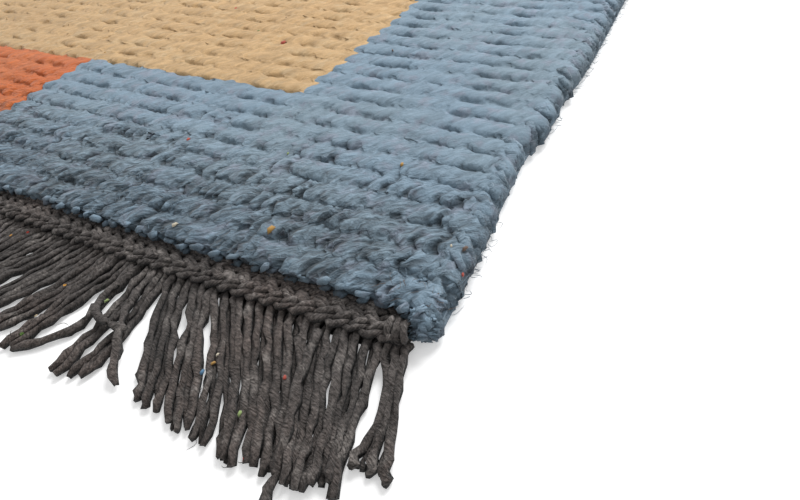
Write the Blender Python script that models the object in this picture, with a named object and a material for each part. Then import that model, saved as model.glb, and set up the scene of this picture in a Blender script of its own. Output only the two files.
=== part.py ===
"""A hand-knotted wool rug: a thick pile in level rows of knots, laid out in plain colour blocks, with a
woven band, a two-ridge braid and a loose fringe at each short end. It lies flat on the floor.

+X runs along the knot rows, +Y along the rug, +Z up. The origin is on the floor under the rug's middle.
An end is laid out by s, the distance along it from its own corner (the right one at the near end, the
left one at the far end), and by out, the distance outwards from the pile's nominal end line.
"""

import math
import random

import bmesh
import bpy
import numpy as np

# Driving sizes, in metres
RUG_WIDTH = 1.200
PILE_LENGTH = 1.700
PILE_TOP = 0.0190
KNOT_ROWS = 90

# Colour blocks, measured from the pile's edges
SIDE_BORDER = 0.189
END_BORDER = 0.176
BLOCK_FROM_SIDE = 0.435

# The rows of knots: each stands up near its own front and slopes back to the next one's foot
GROOVE_DEPTH = 0.0050
CREST_AT = 0.35
CREST_UNEVEN = 0.0008
CREST_SEED = 5
ROW_END_BULGE = 0.0022

# The rounded side edge, from the floor up
FOOT_INSET = 0.0040
BELLY_HEIGHT = 0.0080
SHOULDER_INSET = 0.0140
SHOULDER_DROP = 0.0015

# The sloping end wall of the pile, and its cut corner
END_INSET = 0.0180
END_OVERHANG = 0.0040
CORNER_INSET = 0.0040

# The woven band and the braid that lies on it
GAP = 0.0003
BAND_INNER = -0.0165
BAND_OUTER = 0.0050
BAND_HEIGHT = 0.0050
BAND_FROM_CORNER = 0.0180
BRAID_STEPS = 98
BRAID_WIDTH = 0.0172
BRAID_INNER = -0.0115
BRAID_HEIGHT = 0.0072
BRAID_VALLEY = 0.0042
BRAID_SWAY = 0.0009
BRAID_RIDGES_AT = (0.26, 0.52, 0.78)
KNOT_LENGTH = 0.0120
KNOT_GROWTH = 0.18

# The fringe: locks a little narrower than their pitch, resting on the floor
LOCKS = 140
LOCK_WIDTH = 0.0062
LOCK_HEIGHT = 0.0055
LOCK_TOP_SHARE = 0.62
LOCK_TIP_SHARE = 0.75
LOCK_TIP_FALL = 0.35
LOCK_CLEAR = 0.0011
LOCK_BOW = 0.40
LOCK_STEPS = 3
FRINGE_REACH = 0.0780
FRINGE_SEEDS = {"near": 11, "far": 37}

# How far each side edge is drawn in, by the distance from the near end
SIDE_WAVE = (
    # along, right, left
    (0.000, 0.0000, 0.0000),
    (0.034, 0.0010, 0.0005),
    (0.096, 0.0050, 0.0010),
    (0.146, 0.0080, 0.0025),
    (0.194, 0.0060, 0.0045),
    (0.298, 0.0000, 0.0030),
    (0.480, 0.0020, 0.0000),
    (0.660, 0.0045, 0.0040),
    (0.850, 0.0015, 0.0060),
    (1.060, 0.0050, 0.0020),
    (1.270, 0.0010, 0.0045),
    (1.480, 0.0040, 0.0015),
    (1.600, 0.0015, 0.0035),
    (1.700, 0.0000, 0.0000),
)

# How far the end line, its band and its braid swing outwards, by s. The pile's columns stand at these s,
# so the colour blocks' edges are among them
END_WAVE = (
    # s, near, far
    (0.014, 0.0000, 0.0000),
    (SIDE_BORDER, 0.0035, 0.0025),
    (BLOCK_FROM_SIDE, 0.0005, -0.0015),
    (0.600, -0.0015, 0.0020),
    (RUG_WIDTH - BLOCK_FROM_SIDE, 0.0025, -0.0010),
    (RUG_WIDTH - SIDE_BORDER, -0.0010, 0.0030),
    (1.186, 0.0000, 0.0000),
)

# How the fringe lies: how far a lock's tip is carried along the end, towards its own corner where
# positive, and the share of the full reach that it has
FRINGE_LIE = (
    # s, lean, share
    (0.018, 0.0290, 0.80),
    (0.030, 0.0160, 0.96),
    (0.048, 0.0260, 1.00),
    (0.070, 0.0390, 1.00),
    (0.110, 0.0460, 1.00),
    (0.150, 0.0390, 0.99),
    (0.161, 0.0360, 0.95),
    (0.166, 0.0060, 1.00),
    (0.178, 0.0030, 1.00),
    (0.184, -0.0170, 0.98),
    (0.205, -0.0210, 0.93),
    (0.240, -0.0380, 0.95),
    (0.300, -0.0300, 0.99),
)

# Past the table's last row the fringe falls in slow waves of its own
LIE_LEAN = 0.016
LIE_SETTLE = 0.189
LIE_WAVES = (
    # waves along the end, share of the lean
    (3.3, 0.60),
    (8.7, 0.40),
)
LIE_PHASE = {"near": 11.0, "far": 23.0}
LIE_JITTER = 0.0026
REACH_JITTER = 0.07

COLOURS = {
    # linear red, green, blue
    "wool_blue": (0.205, 0.300, 0.385),
    "wool_beige": (0.560, 0.410, 0.235),
    "wool_coral": (0.560, 0.165, 0.085),
    "wool_charcoal": (0.075, 0.062, 0.055),
}
WOOL_ROUGHNESS = 0.95


def clear_scene():
    for thing in list(bpy.data.objects):
        bpy.data.objects.remove(thing, do_unlink=True)


def part_collection(name):
    collection = bpy.data.collections.new(name)
    bpy.context.scene.collection.children.link(collection)
    return collection


def wool(name):
    material = bpy.data.materials.new(name)
    material.use_nodes = True
    shader = material.node_tree.nodes["Principled BSDF"]
    shader.inputs["Base Color"].default_value = (*COLOURS[name], 1.0)
    shader.inputs["Roughness"].default_value = WOOL_ROUGHNESS
    shader.inputs["Metallic"].default_value = 0.0
    return material


def finish(bm, name, collection, materials):
    """One named object from a closed bmesh, its faces turned outwards."""
    bmesh.ops.recalc_face_normals(bm, faces=bm.faces)
    mesh = bpy.data.meshes.new(name)
    bm.to_mesh(mesh)
    bm.free()
    for material in materials:
        mesh.materials.append(material)
    piece = bpy.data.objects.new(name, mesh)
    collection.objects.link(piece)
    return piece


def column(rows, index):
    return [row[index] for row in rows]


def end_wave(s, end):
    index = 1 if end == "near" else 2
    return float(np.interp(s, column(END_WAVE, 0), column(END_WAVE, index)))


def placed(s, out, z, end):
    """A point of one end, turned half round for the far end."""
    turn = 1.0 if end == "near" else -1.0
    return (turn * (RUG_WIDTH / 2 - s), turn * (-PILE_LENGTH / 2 - out), z)


def pushed_out(bm, face, keep=False):
    """Extrudes one face and returns the new one. What it left behind goes, unless it closes the start."""
    grown = bmesh.ops.extrude_face_region(bm, geom=[face])["geom"]
    cap = next(part for part in grown if isinstance(part, bmesh.types.BMFace))
    if face.is_valid and not keep:
        bm.faces.remove(face)
    return cap


def loft(bm, section, stations):
    """Extrudes one closed section from station to station, and returns the faces that close its ends."""
    cap = bm.faces.new([bm.verts.new(point) for point in section(stations[0])])
    ends = [cap, cap]
    for index, station in enumerate(stations[1:]):
        cap = pushed_out(bm, cap, keep=index == 0)
        for vert, point in zip(cap.verts, section(station)):
            vert.co = point
        ends[1] = cap
    return ends


def pile_rows():
    """The stations along the pile: its two ends, and a groove and a crest for each row of knots."""
    pitch = PILE_LENGTH / KNOT_ROWS
    uneven = random.Random(CREST_SEED)
    rows = []
    for row in range(KNOT_ROWS):
        rows.append((row * pitch, False, uneven.uniform(-1.0, 0.0)))
        rows.append(((row + CREST_AT) * pitch, True, uneven.uniform(-1.0, 0.0)))
    rows.append((PILE_LENGTH, False, 0.0))
    return rows


def pile_point(along, x, z, s_near):
    """A point of the pile, drawn in from the two ends where the band and braid stand."""
    s_far = RUG_WIDTH - s_near
    first = CORNER_INSET
    last = CORNER_INSET
    if SHOULDER_INSET <= s_near <= RUG_WIDTH - SHOULDER_INSET:
        overhang = END_OVERHANG * z / PILE_TOP
        first = END_INSET - end_wave(s_near, "near") - overhang
        last = END_INSET - end_wave(s_far, "far") - overhang
    share = along / PILE_LENGTH
    y = -PILE_LENGTH / 2 + first + share * (PILE_LENGTH - first - last)
    return (x, y, z)


def pile_section(station):
    """Across the rug: right foot and belly, the top from shoulder to shoulder, left belly and foot, and
    the underside's two points where the end wall begins."""
    along, crest, uneven = station
    top = PILE_TOP + CREST_UNEVEN * uneven - (0.0 if crest else GROOVE_DEPTH)
    bulge = 0.0 if crest else ROW_END_BULGE
    half = {}
    for side, index in (("right", 1), ("left", 2)):
        pull = float(np.interp(along, column(SIDE_WAVE, 0), column(SIDE_WAVE, index)))
        half[side] = RUG_WIDTH / 2 - pull - bulge
    points = [
        pile_point(along, half["right"] - FOOT_INSET, 0.0, 0.0),
        pile_point(along, half["right"], BELLY_HEIGHT, 0.0),
    ]
    for s, _, _ in END_WAVE:
        x = RUG_WIDTH / 2 - s
        at_shoulder = s in (END_WAVE[0][0], END_WAVE[-1][0])
        if at_shoulder:
            x = math.copysign(half["right" if x > 0 else "left"] - SHOULDER_INSET, x)
        points.append(pile_point(along, x, top - (SHOULDER_DROP if at_shoulder else 0.0), s))
    points.append(pile_point(along, -half["left"], BELLY_HEIGHT, RUG_WIDTH))
    points.append(pile_point(along, -half["left"] + FOOT_INSET, 0.0, RUG_WIDTH))
    points.append(pile_point(along, -half["left"] + SHOULDER_INSET, 0.0, END_WAVE[-1][0]))
    points.append(pile_point(along, half["right"] - SHOULDER_INSET, 0.0, END_WAVE[0][0]))
    return points


def square_end_wall(bm, cap, along):
    """Gives the foot of an end wall the same columns as its top, so that both follow the end's wave."""
    inner = RUG_WIDTH / 2 - FOOT_INSET - SHOULDER_INSET / 2
    foot = next(
        edge
        for edge in cap.edges
        if all(vert.co.z == 0.0 and abs(vert.co.x) < inner for vert in edge.verts)
    )
    right, left = sorted(foot.verts, key=lambda vert: -vert.co.x)
    tops = [vert for vert in cap.verts if vert.co.z > BELLY_HEIGHT]
    feet = [right]
    for s, _, _ in END_WAVE[1:-1]:
        edge = next(edge for edge in feet[-1].link_edges if left in edge.verts)
        _, vert = bmesh.utils.edge_split(edge, feet[-1], 0.5)
        vert.co = pile_point(along, RUG_WIDTH / 2 - s, 0.0, s)
        feet.append(vert)
    for vert in feet + [left]:
        above = min(tops, key=lambda top: abs(top.co.x - vert.co.x))
        bmesh.ops.connect_vert_pair(bm, verts=[vert, above])


def block_at(x, y):
    """Which colour block a point of the pile is in, as an index into its materials."""
    from_side = RUG_WIDTH / 2 - abs(x)
    from_end = PILE_LENGTH / 2 - abs(y)
    if from_side > BLOCK_FROM_SIDE and from_end < END_BORDER:
        return 2
    if from_side > SIDE_BORDER and from_end > END_BORDER:
        return 1
    return 0


def build_pile(collection, materials):
    bm = bmesh.new()
    first, last = loft(bm, pile_section, pile_rows())
    square_end_wall(bm, first, 0.0)
    square_end_wall(bm, last, PILE_LENGTH)
    for face in bm.faces:
        centre = face.calc_center_median()
        face.material_index = block_at(centre.x, centre.y)
    return finish(bm, "pile", collection, materials)


def lock_lies(end):
    """For each lock of an end: its root, its tip and the share of the full reach that it has."""
    draw = random.Random(FRINGE_SEEDS[end])
    first = BAND_FROM_CORNER
    pitch = (RUG_WIDTH - 2 * BAND_FROM_CORNER) / LOCKS
    free_from = FRINGE_LIE[-1][0]
    lies = []
    for lock in range(LOCKS):
        s = first + (lock + 0.5) * pitch
        jitter = draw.uniform(-1.0, 1.0)
        short = draw.uniform(0.0, 1.0)
        if s <= free_from:
            lean = float(np.interp(s, column(FRINGE_LIE, 0), column(FRINGE_LIE, 1)))
            share = float(np.interp(s, column(FRINGE_LIE, 0), column(FRINGE_LIE, 2)))
        else:
            along = 2.0 * math.pi * (s - free_from) / RUG_WIDTH
            wave = sum(part * math.cos(waves * along + LIE_PHASE[end]) for waves, part in LIE_WAVES)
            settle = min(1.0, (s - free_from) / LIE_SETTLE)
            lean = FRINGE_LIE[-1][1] * (1.0 - settle) + LIE_LEAN * settle * wave + LIE_JITTER * jitter
            share = 1.0 - REACH_JITTER * short
        lies.append([s, s - lean, share])
    tip_width = LOCK_WIDTH * LOCK_TIP_SHARE + LOCK_CLEAR
    for before, after in zip(lies, lies[1:]):
        slope = (after[1] - after[0]) / FRINGE_REACH
        after[1] = max(after[1], before[1] + tip_width * math.hypot(1.0, slope))
    return lies


def lock_ring(root, tip, share, step, end):
    """The four corners of a lock's section at one step out, wider at the floor than on top."""
    t = step / LOCK_STEPS
    s = root + (tip - root) * t * (1.0 - LOCK_BOW + LOCK_BOW * t)
    reach = FRINGE_REACH * share - BAND_OUTER - end_wave(root, end)
    out = BAND_OUTER + end_wave(root, end) + reach * t
    slope = (tip - root) / reach
    square = 1.0 / math.hypot(1.0, slope)
    width = LOCK_WIDTH * (1.0 - t * (1.0 - LOCK_TIP_SHARE))
    height = LOCK_HEIGHT * (1.0 - t * LOCK_TIP_FALL)
    ring = []
    for side, level in ((-1, 0.0), (1, 0.0), (1, height), (-1, height)):
        half = side * width / 2 * (LOCK_TOP_SHARE if level else 1.0)
        ring.append(placed(s + half * square, min(out - half * slope * square, FRINGE_REACH), level, end))
    return ring


def band_section(end):
    """The band's section at one s: its inner wall, its top, and the outer wall that the locks grow from."""

    def section(s):
        shift = end_wave(s, end)
        inner = BAND_INNER + shift
        outer = BAND_OUTER + shift
        return [
            placed(s, inner, 0.0, end),
            placed(s, outer, 0.0, end),
            placed(s, outer, BAND_HEIGHT, end),
            placed(s, inner, BAND_HEIGHT, end),
        ]

    return section


def grow_lock(bm, root_face, lie, end):
    """Extrudes one lock from its face of the band, ring by ring, matching corners by their place."""
    root, tip, share = lie
    cap = root_face
    corners = {(False, False): 0, (True, False): 1, (True, True): 2, (False, True): 3}
    turn = 1.0 if end == "near" else -1.0
    for step in range(1, LOCK_STEPS + 1):
        cap = pushed_out(bm, cap)
        middle = cap.calc_center_median()
        ring = lock_ring(root, tip, share, step, end)
        for vert in cap.verts:
            beyond = turn * (middle.x - vert.co.x) > 0.0
            above = vert.co.z > middle.z
            vert.co = ring[corners[beyond, above]]


def build_end_fringe(end, collection, material):
    bm = bmesh.new()
    length = RUG_WIDTH - 2 * BAND_FROM_CORNER
    stations = [BAND_FROM_CORNER + length * step / LOCKS for step in range(LOCKS + 1)]
    loft(bm, band_section(end), stations)
    turn = 1.0 if end == "near" else -1.0
    roots = []
    for face in bm.faces:
        middle = face.calc_center_median()
        s = RUG_WIDTH / 2 - turn * middle.x
        out = -turn * middle.y - PILE_LENGTH / 2
        on_outer_wall = abs(out - BAND_OUTER - end_wave(s, end)) < GAP
        if on_outer_wall and abs(middle.z - BAND_HEIGHT / 2) < GAP:
            roots.append((s, face))
    roots.sort(key=lambda pair: pair[0])
    for (_, face), lie in zip(roots, lock_lies(end)):
        grow_lock(bm, face, lie, end)
    return finish(bm, "end_fringe_" + end, collection, [material])


def braid_section(end):
    """The braid's section: a flat underside and two ridges that take turns, larger at its end knots."""
    first = BAND_FROM_CORNER
    length = RUG_WIDTH - 2 * BAND_FROM_CORNER
    base = BAND_HEIGHT + GAP

    def section(step):
        s = first + length * step / BRAID_STEPS
        shift = end_wave(s, end)
        sway = BRAID_SWAY * (1 if step % 2 else -1)
        from_tip = min(s - first, first + length - s)
        growth = 1.0 + KNOT_GROWTH * max(0.0, 1.0 - from_tip / KNOT_LENGTH)
        inner = BRAID_INNER + shift
        outer = inner + BRAID_WIDTH * growth
        high = base + (BRAID_HEIGHT + sway) * growth
        low = base + (BRAID_HEIGHT - sway) * growth
        inner_ridge, valley, outer_ridge = (inner + BRAID_WIDTH * share for share in BRAID_RIDGES_AT)
        return [
            placed(s, inner, base, end),
            placed(s, outer, base, end),
            placed(s, outer_ridge + sway, low, end),
            placed(s, valley, base + BRAID_VALLEY, end),
            placed(s, inner_ridge + sway, high, end),
        ]

    return section


def build_braid(end, collection, material):
    bm = bmesh.new()
    loft(bm, braid_section(end), list(range(BRAID_STEPS + 1)))
    return finish(bm, "braid_" + end, collection, [material])


def main():
    clear_scene()
    rug = part_collection("nepalese_rug")
    charcoal = wool("wool_charcoal")
    build_pile(rug, [wool("wool_blue"), wool("wool_beige"), wool("wool_coral")])
    for end in ("near", "far"):
        build_end_fringe(end, rug, charcoal)
        build_braid(end, rug, charcoal)


main()
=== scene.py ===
"""The looks of a hand-knotted wool rug: the folded face of its cut pile, the knots that show on its end
walls, the yarns that curl down its sides, its woven bands, three-strand braids and two-ply fringes.

+X runs along the knot rows, +Y along the rug, +Z up, in metres. An end is laid out by s, the distance
along it from its own corner (the right one at the near end, the left one at the far end), and by out, the
distance outwards from the pile's nominal end line. Every yarn, thick or thin, is one ball drawn out along
its own path, and all the copies of a piece are placed together as arrays.
"""

import math

import bmesh
import bpy
import numpy as np
from mathutils import Matrix, Vector


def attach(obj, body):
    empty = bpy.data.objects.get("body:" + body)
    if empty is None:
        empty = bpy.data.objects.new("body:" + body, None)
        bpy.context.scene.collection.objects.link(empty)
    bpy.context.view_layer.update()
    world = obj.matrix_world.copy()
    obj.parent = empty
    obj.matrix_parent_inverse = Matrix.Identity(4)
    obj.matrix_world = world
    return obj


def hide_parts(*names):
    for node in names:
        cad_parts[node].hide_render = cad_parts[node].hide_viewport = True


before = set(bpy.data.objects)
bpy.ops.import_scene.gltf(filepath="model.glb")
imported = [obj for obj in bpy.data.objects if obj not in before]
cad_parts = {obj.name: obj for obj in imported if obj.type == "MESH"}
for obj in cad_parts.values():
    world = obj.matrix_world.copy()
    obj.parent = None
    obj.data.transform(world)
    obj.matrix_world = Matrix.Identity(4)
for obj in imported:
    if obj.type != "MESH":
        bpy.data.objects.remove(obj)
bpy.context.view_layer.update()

MM = 0.001
CM = 0.01

# The rug's plan, as its solids have it
RUG_WIDTH = 1.200
PILE_LENGTH = 1.700
PILE_TOP = 0.0190
KNOT_ROWS = 90
ROW_PITCH = PILE_LENGTH / KNOT_ROWS
SIDE_BORDER = 0.189
END_BORDER_ROWS = 9
FIELD_CUTS = (33, 57)
BLOCK_FROM_SIDE = 0.435

# The end walls of the pile and its corners
END_INSET = 0.0180
END_OVERHANG = 0.0040
CORNER_INSET = 0.0040
CORNER_FROM = 0.0070
CORNER_TO = 0.0200

# The woven band, the braid on it and the fringe
BAND_INNER = -0.0165
BAND_OUTER = 0.0050
BAND_FROM_CORNER = 0.0180
BRAID_MIDDLE = -0.0029
FRINGE_REACH = 0.0780

# How far each side edge is drawn in, by the distance from the near end
SIDE_WAVE = np.array((
    # along, right, left
    (0.000, 0.0000, 0.0000),
    (0.034, 0.0010, 0.0005),
    (0.096, 0.0050, 0.0010),
    (0.146, 0.0080, 0.0025),
    (0.194, 0.0060, 0.0045),
    (0.298, 0.0000, 0.0030),
    (0.480, 0.0020, 0.0000),
    (0.660, 0.0045, 0.0040),
    (0.850, 0.0015, 0.0060),
    (1.060, 0.0050, 0.0020),
    (1.270, 0.0010, 0.0045),
    (1.480, 0.0040, 0.0015),
    (1.600, 0.0015, 0.0035),
    (1.700, 0.0000, 0.0000),
))

# How far the wool at a side edge is drawn in more than that, by the distance from its own end
EDGE_DRAWN = np.array((
    (0.000, 0.0045),
    (0.020, 0.0042),
    (0.036, 0.0033),
    (0.085, 0.0028),
    (0.100, 0.0050),
    (0.114, 0.0033),
    (0.140, 0.0048),
    (0.164, 0.0036),
    (0.180, -0.0004),
    (0.196, 0.0006),
    (0.212, 0.0032),
    (0.263, 0.0033),
    (0.300, 0.0046),
    (1.400, 0.0040),
    (1.700, 0.0045),
))

# How far the end line, its band and its braid swing outwards, by s
END_WAVE = np.array((
    # s, near, far
    (0.014, 0.0000, 0.0000),
    (0.189, 0.0035, 0.0025),
    (0.435, 0.0005, -0.0015),
    (0.600, -0.0015, 0.0020),
    (0.765, 0.0025, -0.0010),
    (1.011, -0.0010, 0.0030),
    (1.186, 0.0000, 0.0000),
))

# The cut pile: one deep surface that folds in between the rows and dips between the knots
KNOTS_IN_ROW = 100
KNOTS_FROM_SIDE = 0.0070
PILE_SEED = 21
ROW_FORM = np.array((
    # share of the row's pitch, height, how much the knots part there, how loose it is, how deep in shade,
    # and the way it swells: along, up
    (0.000, 0.0130, 0.50, 0.8, 1.00, -0.2, 0.5),
    (0.045, 0.0141, 0.80, 1.0, 0.70, -0.8, 0.4),
    (0.090, 0.0154, 1.00, 1.0, 0.25, -0.9, 0.6),
    (0.170, 0.0166, 1.00, 1.0, 0.00, -0.5, 0.9),
    (0.310, 0.0172, 1.00, 0.9, 0.00, -0.1, 1.0),
    (0.500, 0.0170, 0.90, 0.6, 0.00, 0.1, 1.0),
    (0.710, 0.0161, 0.70, 0.4, 0.05, 0.1, 1.0),
    (0.890, 0.0147, 0.50, 0.4, 0.45, 0.0, 0.8),
))
# The lines of the end walls, by place in rows and height, and the places of the first row's first two lines
FIRST_LINES = ((0.05, 0.0014), (0.01, 0.0066))
LAST_LINES = ((-0.01, 0.0080), (-0.05, 0.0014))
FIRST_ROW_STARTS = (-0.02, -0.05)
PILE_FLOOR = 0.0007
PILE_LEAN = (0.0, -0.25, 1.0)
CORNER_ROUND = 0.0100

# The pile's side edge, rolled down to the floor
SIDE_ROLL = np.array((
    # distance in from the side edge, share of the pile's height
    (0.0034, 0.06),
    (0.0006, 0.28),
    (0.0004, 0.55),
    (0.0026, 0.82),
))
ROLL_WANDER = 0.0005
ROLL_IN_AT_END = 0.0040
ROLL_BACK_AT_END = 0.0045

# Dips between the knots and on them, from the least to the most in mm, and how seldom they are deep
SLIT_DEPTH = (0.4, 2.8)
CREASE_DEPTH = (0.2, 2.2)
DIP_POWER = 1.3
OUTER_DIP = 0.0002

# Up to where each effect is whole, and where it has gone, by the distance from an end, a side or a corner
PUFFED = (0.030, 0.170)
OPENED = (0.020, 0.180)
NOT_FIELD = (0.150, 0.210)
FIELD_FADE = 0.030
EDGE_PULL = (0.000, 0.045)
SIDE_ROUNDING = (0.000, 0.026)
END_ROUNDING = (0.000, 0.030)
ROLL_PAST_END = (0.000, 0.022)
CORNER_LIGHT = (0.000, 0.065)

# What is left of each where the pile is calm, and where it is open near its ends: the dips, and the painted
# shade in the grooves and creases
DIPS_LEFT = (0.54, 1.10)
GROOVES_LEFT = (1.00, 0.65)
CREASES_LEFT = (0.64, 1.00)

# How the pile swells, reaches over the groove before it and drifts along its rows
SWELL = (0.00025, 0.00042)
SWELL_BY_LINE = 0.00028
PUFF = 0.7
LIFT = 0.0005
KNOT_REACH = 0.05
ROW_REACH = 0.07
REACH_AT_DIP = -45.0
REACH_MOST = 0.08
PILE_DRIFT = -0.0062
DRIFT_SWING = 0.0024
DRIFT_TURNS_AT = 0.3
SHIFT_ALONG_ROW = 0.00035
SHIFT_ACROSS_ROW = 0.0003
PAST_END = 0.0012
FOLD_SWING = 0.0009
CALMED = 0.55
FIELD_CALM = 0.45

# How full the grooves between the rows are
GROOVE_FILL = 0.0030
CALM_FILL = 0.0002
FIELD_FILL = 0.0009
GROOVE_SPOTS = 0.3
FILLED = 0.60
FILLED_BY_WAVE = (0.60, 0.45)
FILLED_OPEN = -0.15
FILLED_PUFFED = 0.35

# Slow waves in the pile: the step between rows (or along the rug, for the drift), the length, the seed
REACH_WAVE = (1.7, 0.31, 8)
DRIFT_WAVE = (0.7, 0.23, 4)
FILL_WAVES = ((0.613, 0.075, 31), (1.37, 0.033, 32))
LIFT_WAVE = (2.3, 0.09, 12)
FOLD_WAVE = (0.9, 0.026, 33)

# The painted shade in the pile's grooves and slits, and over its open ends
SPOTS = (0.35, 1.10)
SPOT_DEEP_AT = 0.0016
SLIT_DEEP_AT = 0.0022
SLIT_SHADE = 0.75
SLIT_IN_GROOVE = 0.25
SLIT_OPEN = 0.30
GROOVE_LIT = 0.45
# Painted shade all over the open pile near its ends
OPEN_PAINTED_SHADE = 0.56
CORNER_LIT = 0.65

# The knots that show on the end walls, one above another
COLLAR_LEVELS = (0.0058, 0.0099, 0.0139)
COLLAR_LENGTH = 0.0102
COLLAR_THICK = 0.0023
COLLARS_IN_ROW = 102
COLLAR_OUT = 0.0008
COLLAR_TILT = -0.30
COLLAR_FORM = np.array((
    # share of its length, how far it bows out, thickness
    (-0.50, -0.0016, 0.0),
    (-0.27, 0.0003, 1.0),
    (0.27, 0.0003, 1.0),
    (0.50, -0.0016, 0.0),
))

# The yarns that curl down over the side edges
CURLS_IN_ROW = 4
UPPER_CURL = np.array((
    # distance in from the edge, height, half width, half thickness
    (0.0160, 0.0135, 0.0000, 0.0000),
    (0.0090, 0.0146, 0.0036, 0.0027),
    (0.0046, 0.0114, 0.0037, 0.0029),
    (0.0034, 0.0068, 0.0000, 0.0000),
))
LOWER_CURL = np.array((
    # distance in from the edge, height, half width, half thickness
    (0.0080, 0.0130, 0.0000, 0.0000),
    (0.0038, 0.0090, 0.0036, 0.0030),
    (0.0034, 0.0048, 0.0036, 0.0029),
    (0.0056, 0.0010, 0.0000, 0.0000),
))
CURL_LOOSENESS = np.array((0.5, 0.8, 1.0, 1.0))
CURL_RISE = np.array((1.0, 1.0, 0.7, 0.0))
CURL_LEAN = np.array((0.0, 0.4, 1.0, 1.3))
CURLS_FROM_END = 0.011
CURL_INSET = 0.003
CURL_CRUMPLE = 0.0004
ROW_END_BULGE = 0.0022
ROW_END_EVEN = 0.8

# The yarns that fan out round the corners, by their turns in degrees, and the loose tufts over them
CORNER_TURNS = (-14.0, -2.0, 10.0, 22.0, 34.0, 46.0, 58.0, 70.0, 82.0, 94.0, 106.0)
CORNER_RADIUS = 0.0095
CORNER_LEVELS = 8
CORNER_SLIM = 0.72
WISPS = 1000
WISP_SEED = 44
WISP_PLACE = (0.036, 0.056)
WISP_WALL = 0.030
WISP_HEIGHTS = (0.0025, 0.0125)
WISP_LIFT = np.array((-1.0, 0.2, 0.8, 0.8, 0.2, -1.0))
WISP_BODY = np.array((0.0, 0.8, 1.0, 1.0, 0.7, 0.0))

# The ground that the knots are tied on
GROUND_TOP = 0.0085
GROUND_LOW = 0.0004
GROUND_INSET = 0.0060

# Bunches of the near fringe that the photograph shows, each between its right edge and its left one
BUNCH_OUTS = (0.006, 0.032, 0.056)
NEAR_BUNCHES = (
    # strands, tip's out, right edge's s at three outs and the tip, left edge's s at the same, all in mm
    (3, 63, (15, 7, -1, -6), (24, 11, 10, 9)),
    (4, 75, (28, 22, 17, 13), (47, 37, 28, 22)),
    (4, 80, (50, 41, 30, 23), (69, 56, 42, 31)),
    (7, 81, (72, 57, 43, 32), (110, 93, 75, 62)),
    (3, 80, (113, 96, 77, 65), (127, 109, 92, 80)),
    (3, 79, (130, 118, 97, 84), (141, 126, 112, 96)),
    (3, 76, (146, 134, 117, 106), (159, 148, 132, 118)),
    (2, 79, (163, 159, 157, 158), (168, 164, 162, 164)),
    (2, 80, (173, 171, 170, 170), (179, 177, 176, 176)),
    (1, 79, (185, 187, 186, 209), (186, 188, 187, 210)),
    (3, 79, (191, 198, 203, 209), (202, 209, 212, 217)),
    (3, 74, (206, 212, 220, 229), (216, 223, 232, 241)),
    (4, 73, (220, 230, 242, 252), (238, 248, 260, 271)),
    (3, 76, (243, 256, 270, 279), (255, 269, 283, 293)),
    (4, 72, (260, 274, 289, 300), (278, 291, 303, 313)),
    (3, 77, (282, 292, 306, 318), (294, 305, 317, 328)),
)
NEAR_BUNCHES_END = 0.298

# Single strands that lie across the others: s, out and height, in mm
NEAR_STRAYS = (
    ((172, 6, 6.0), (169, 24, 6.4), (160, 42, 8.4), (147, 60, 6.0), (136, 72, 3.2)),
    ((188, 8, 6.0), (187, 26, 5.0), (181, 42, 7.8), (166, 47, 8.6), (152, 46, 7.6)),
    ((60, 8, 5.5), (53, 34, 6.8), (42, 62, 5.6), (37, 79, 3.2), (33, 95, 2.9)),
)

# The rest of both fringes falls into bunches by chance
FRINGE_SEEDS = {"near": 5, "far": 9}
BUNCH_SIZES = (2, 3, 3, 4, 4, 5, 6)
STRAND_PITCH = 0.00575
STRAND_ROOM = 0.0034

# A strand of two plies, and the thinner ones that lie under two others
STRAND_SIDES = 7
STRAND_RINGS = 18
STRAND_RADIUS = 0.00280
STRAND_TWIST = 0.0135
STRAND_LOBE = 0.14
STRAND_REST = 0.0028
STRAND_CRUMPLE = 0.00036
STRAND_SEEDS_FROM = 900
PILED_UP = 1.7
KINKS = 0.00085
KINK_LENGTHS = ((0, 0.017), (2, 0.023))
UNDER_SHARE = 0.95
UNDER_REST = 0.0018
UNDER_SLIM = 0.80
UNDER_SIDES = 5
UNDER_RINGS = 10
UNDER_LOWERED = 0.0020
UNDER_SEEDS_FROM = 5000

# The braid: three strands, each of two yarns side by side, and a yarn wrapped round them at each end
BRAID_PERIOD = 0.0290
BRAID_SWING = 0.0044
BRAID_RISE = 0.0021
BRAID_YARN = 0.00205
BRAID_PAIR = 0.0018
BRAID_HEIGHT = 0.0083
BRAID_RINGS = 330
BRAID_SIDES = 6
BRAID_SEEDS = {"near": 15, "far": 16}
WRAP_TURNS = 3.4
WRAP_PITCH = 0.0026
WRAP_YARN = 0.0019
WRAP_WIDE = 0.0060
WRAP_HIGH = 0.0048
WRAP_HEIGHT = 0.0080
WRAP_RINGS = 46

# The woven strip of the band and its twined rows
STRIP_RINGS = 120
STRIP_HEIGHT = 0.0024
STRIP_WIDE = 0.0112
STRIP_THICK = 0.0021
TWINED_OUTS = (-0.0150, -0.0112)
TWINED_HEIGHT = 0.0066
TWINED_PITCH = 0.0056
TWINED_SLANT = 0.0019
TWINED_YARN = 0.0023
TWINED_OVERLAP = 1.45

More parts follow.
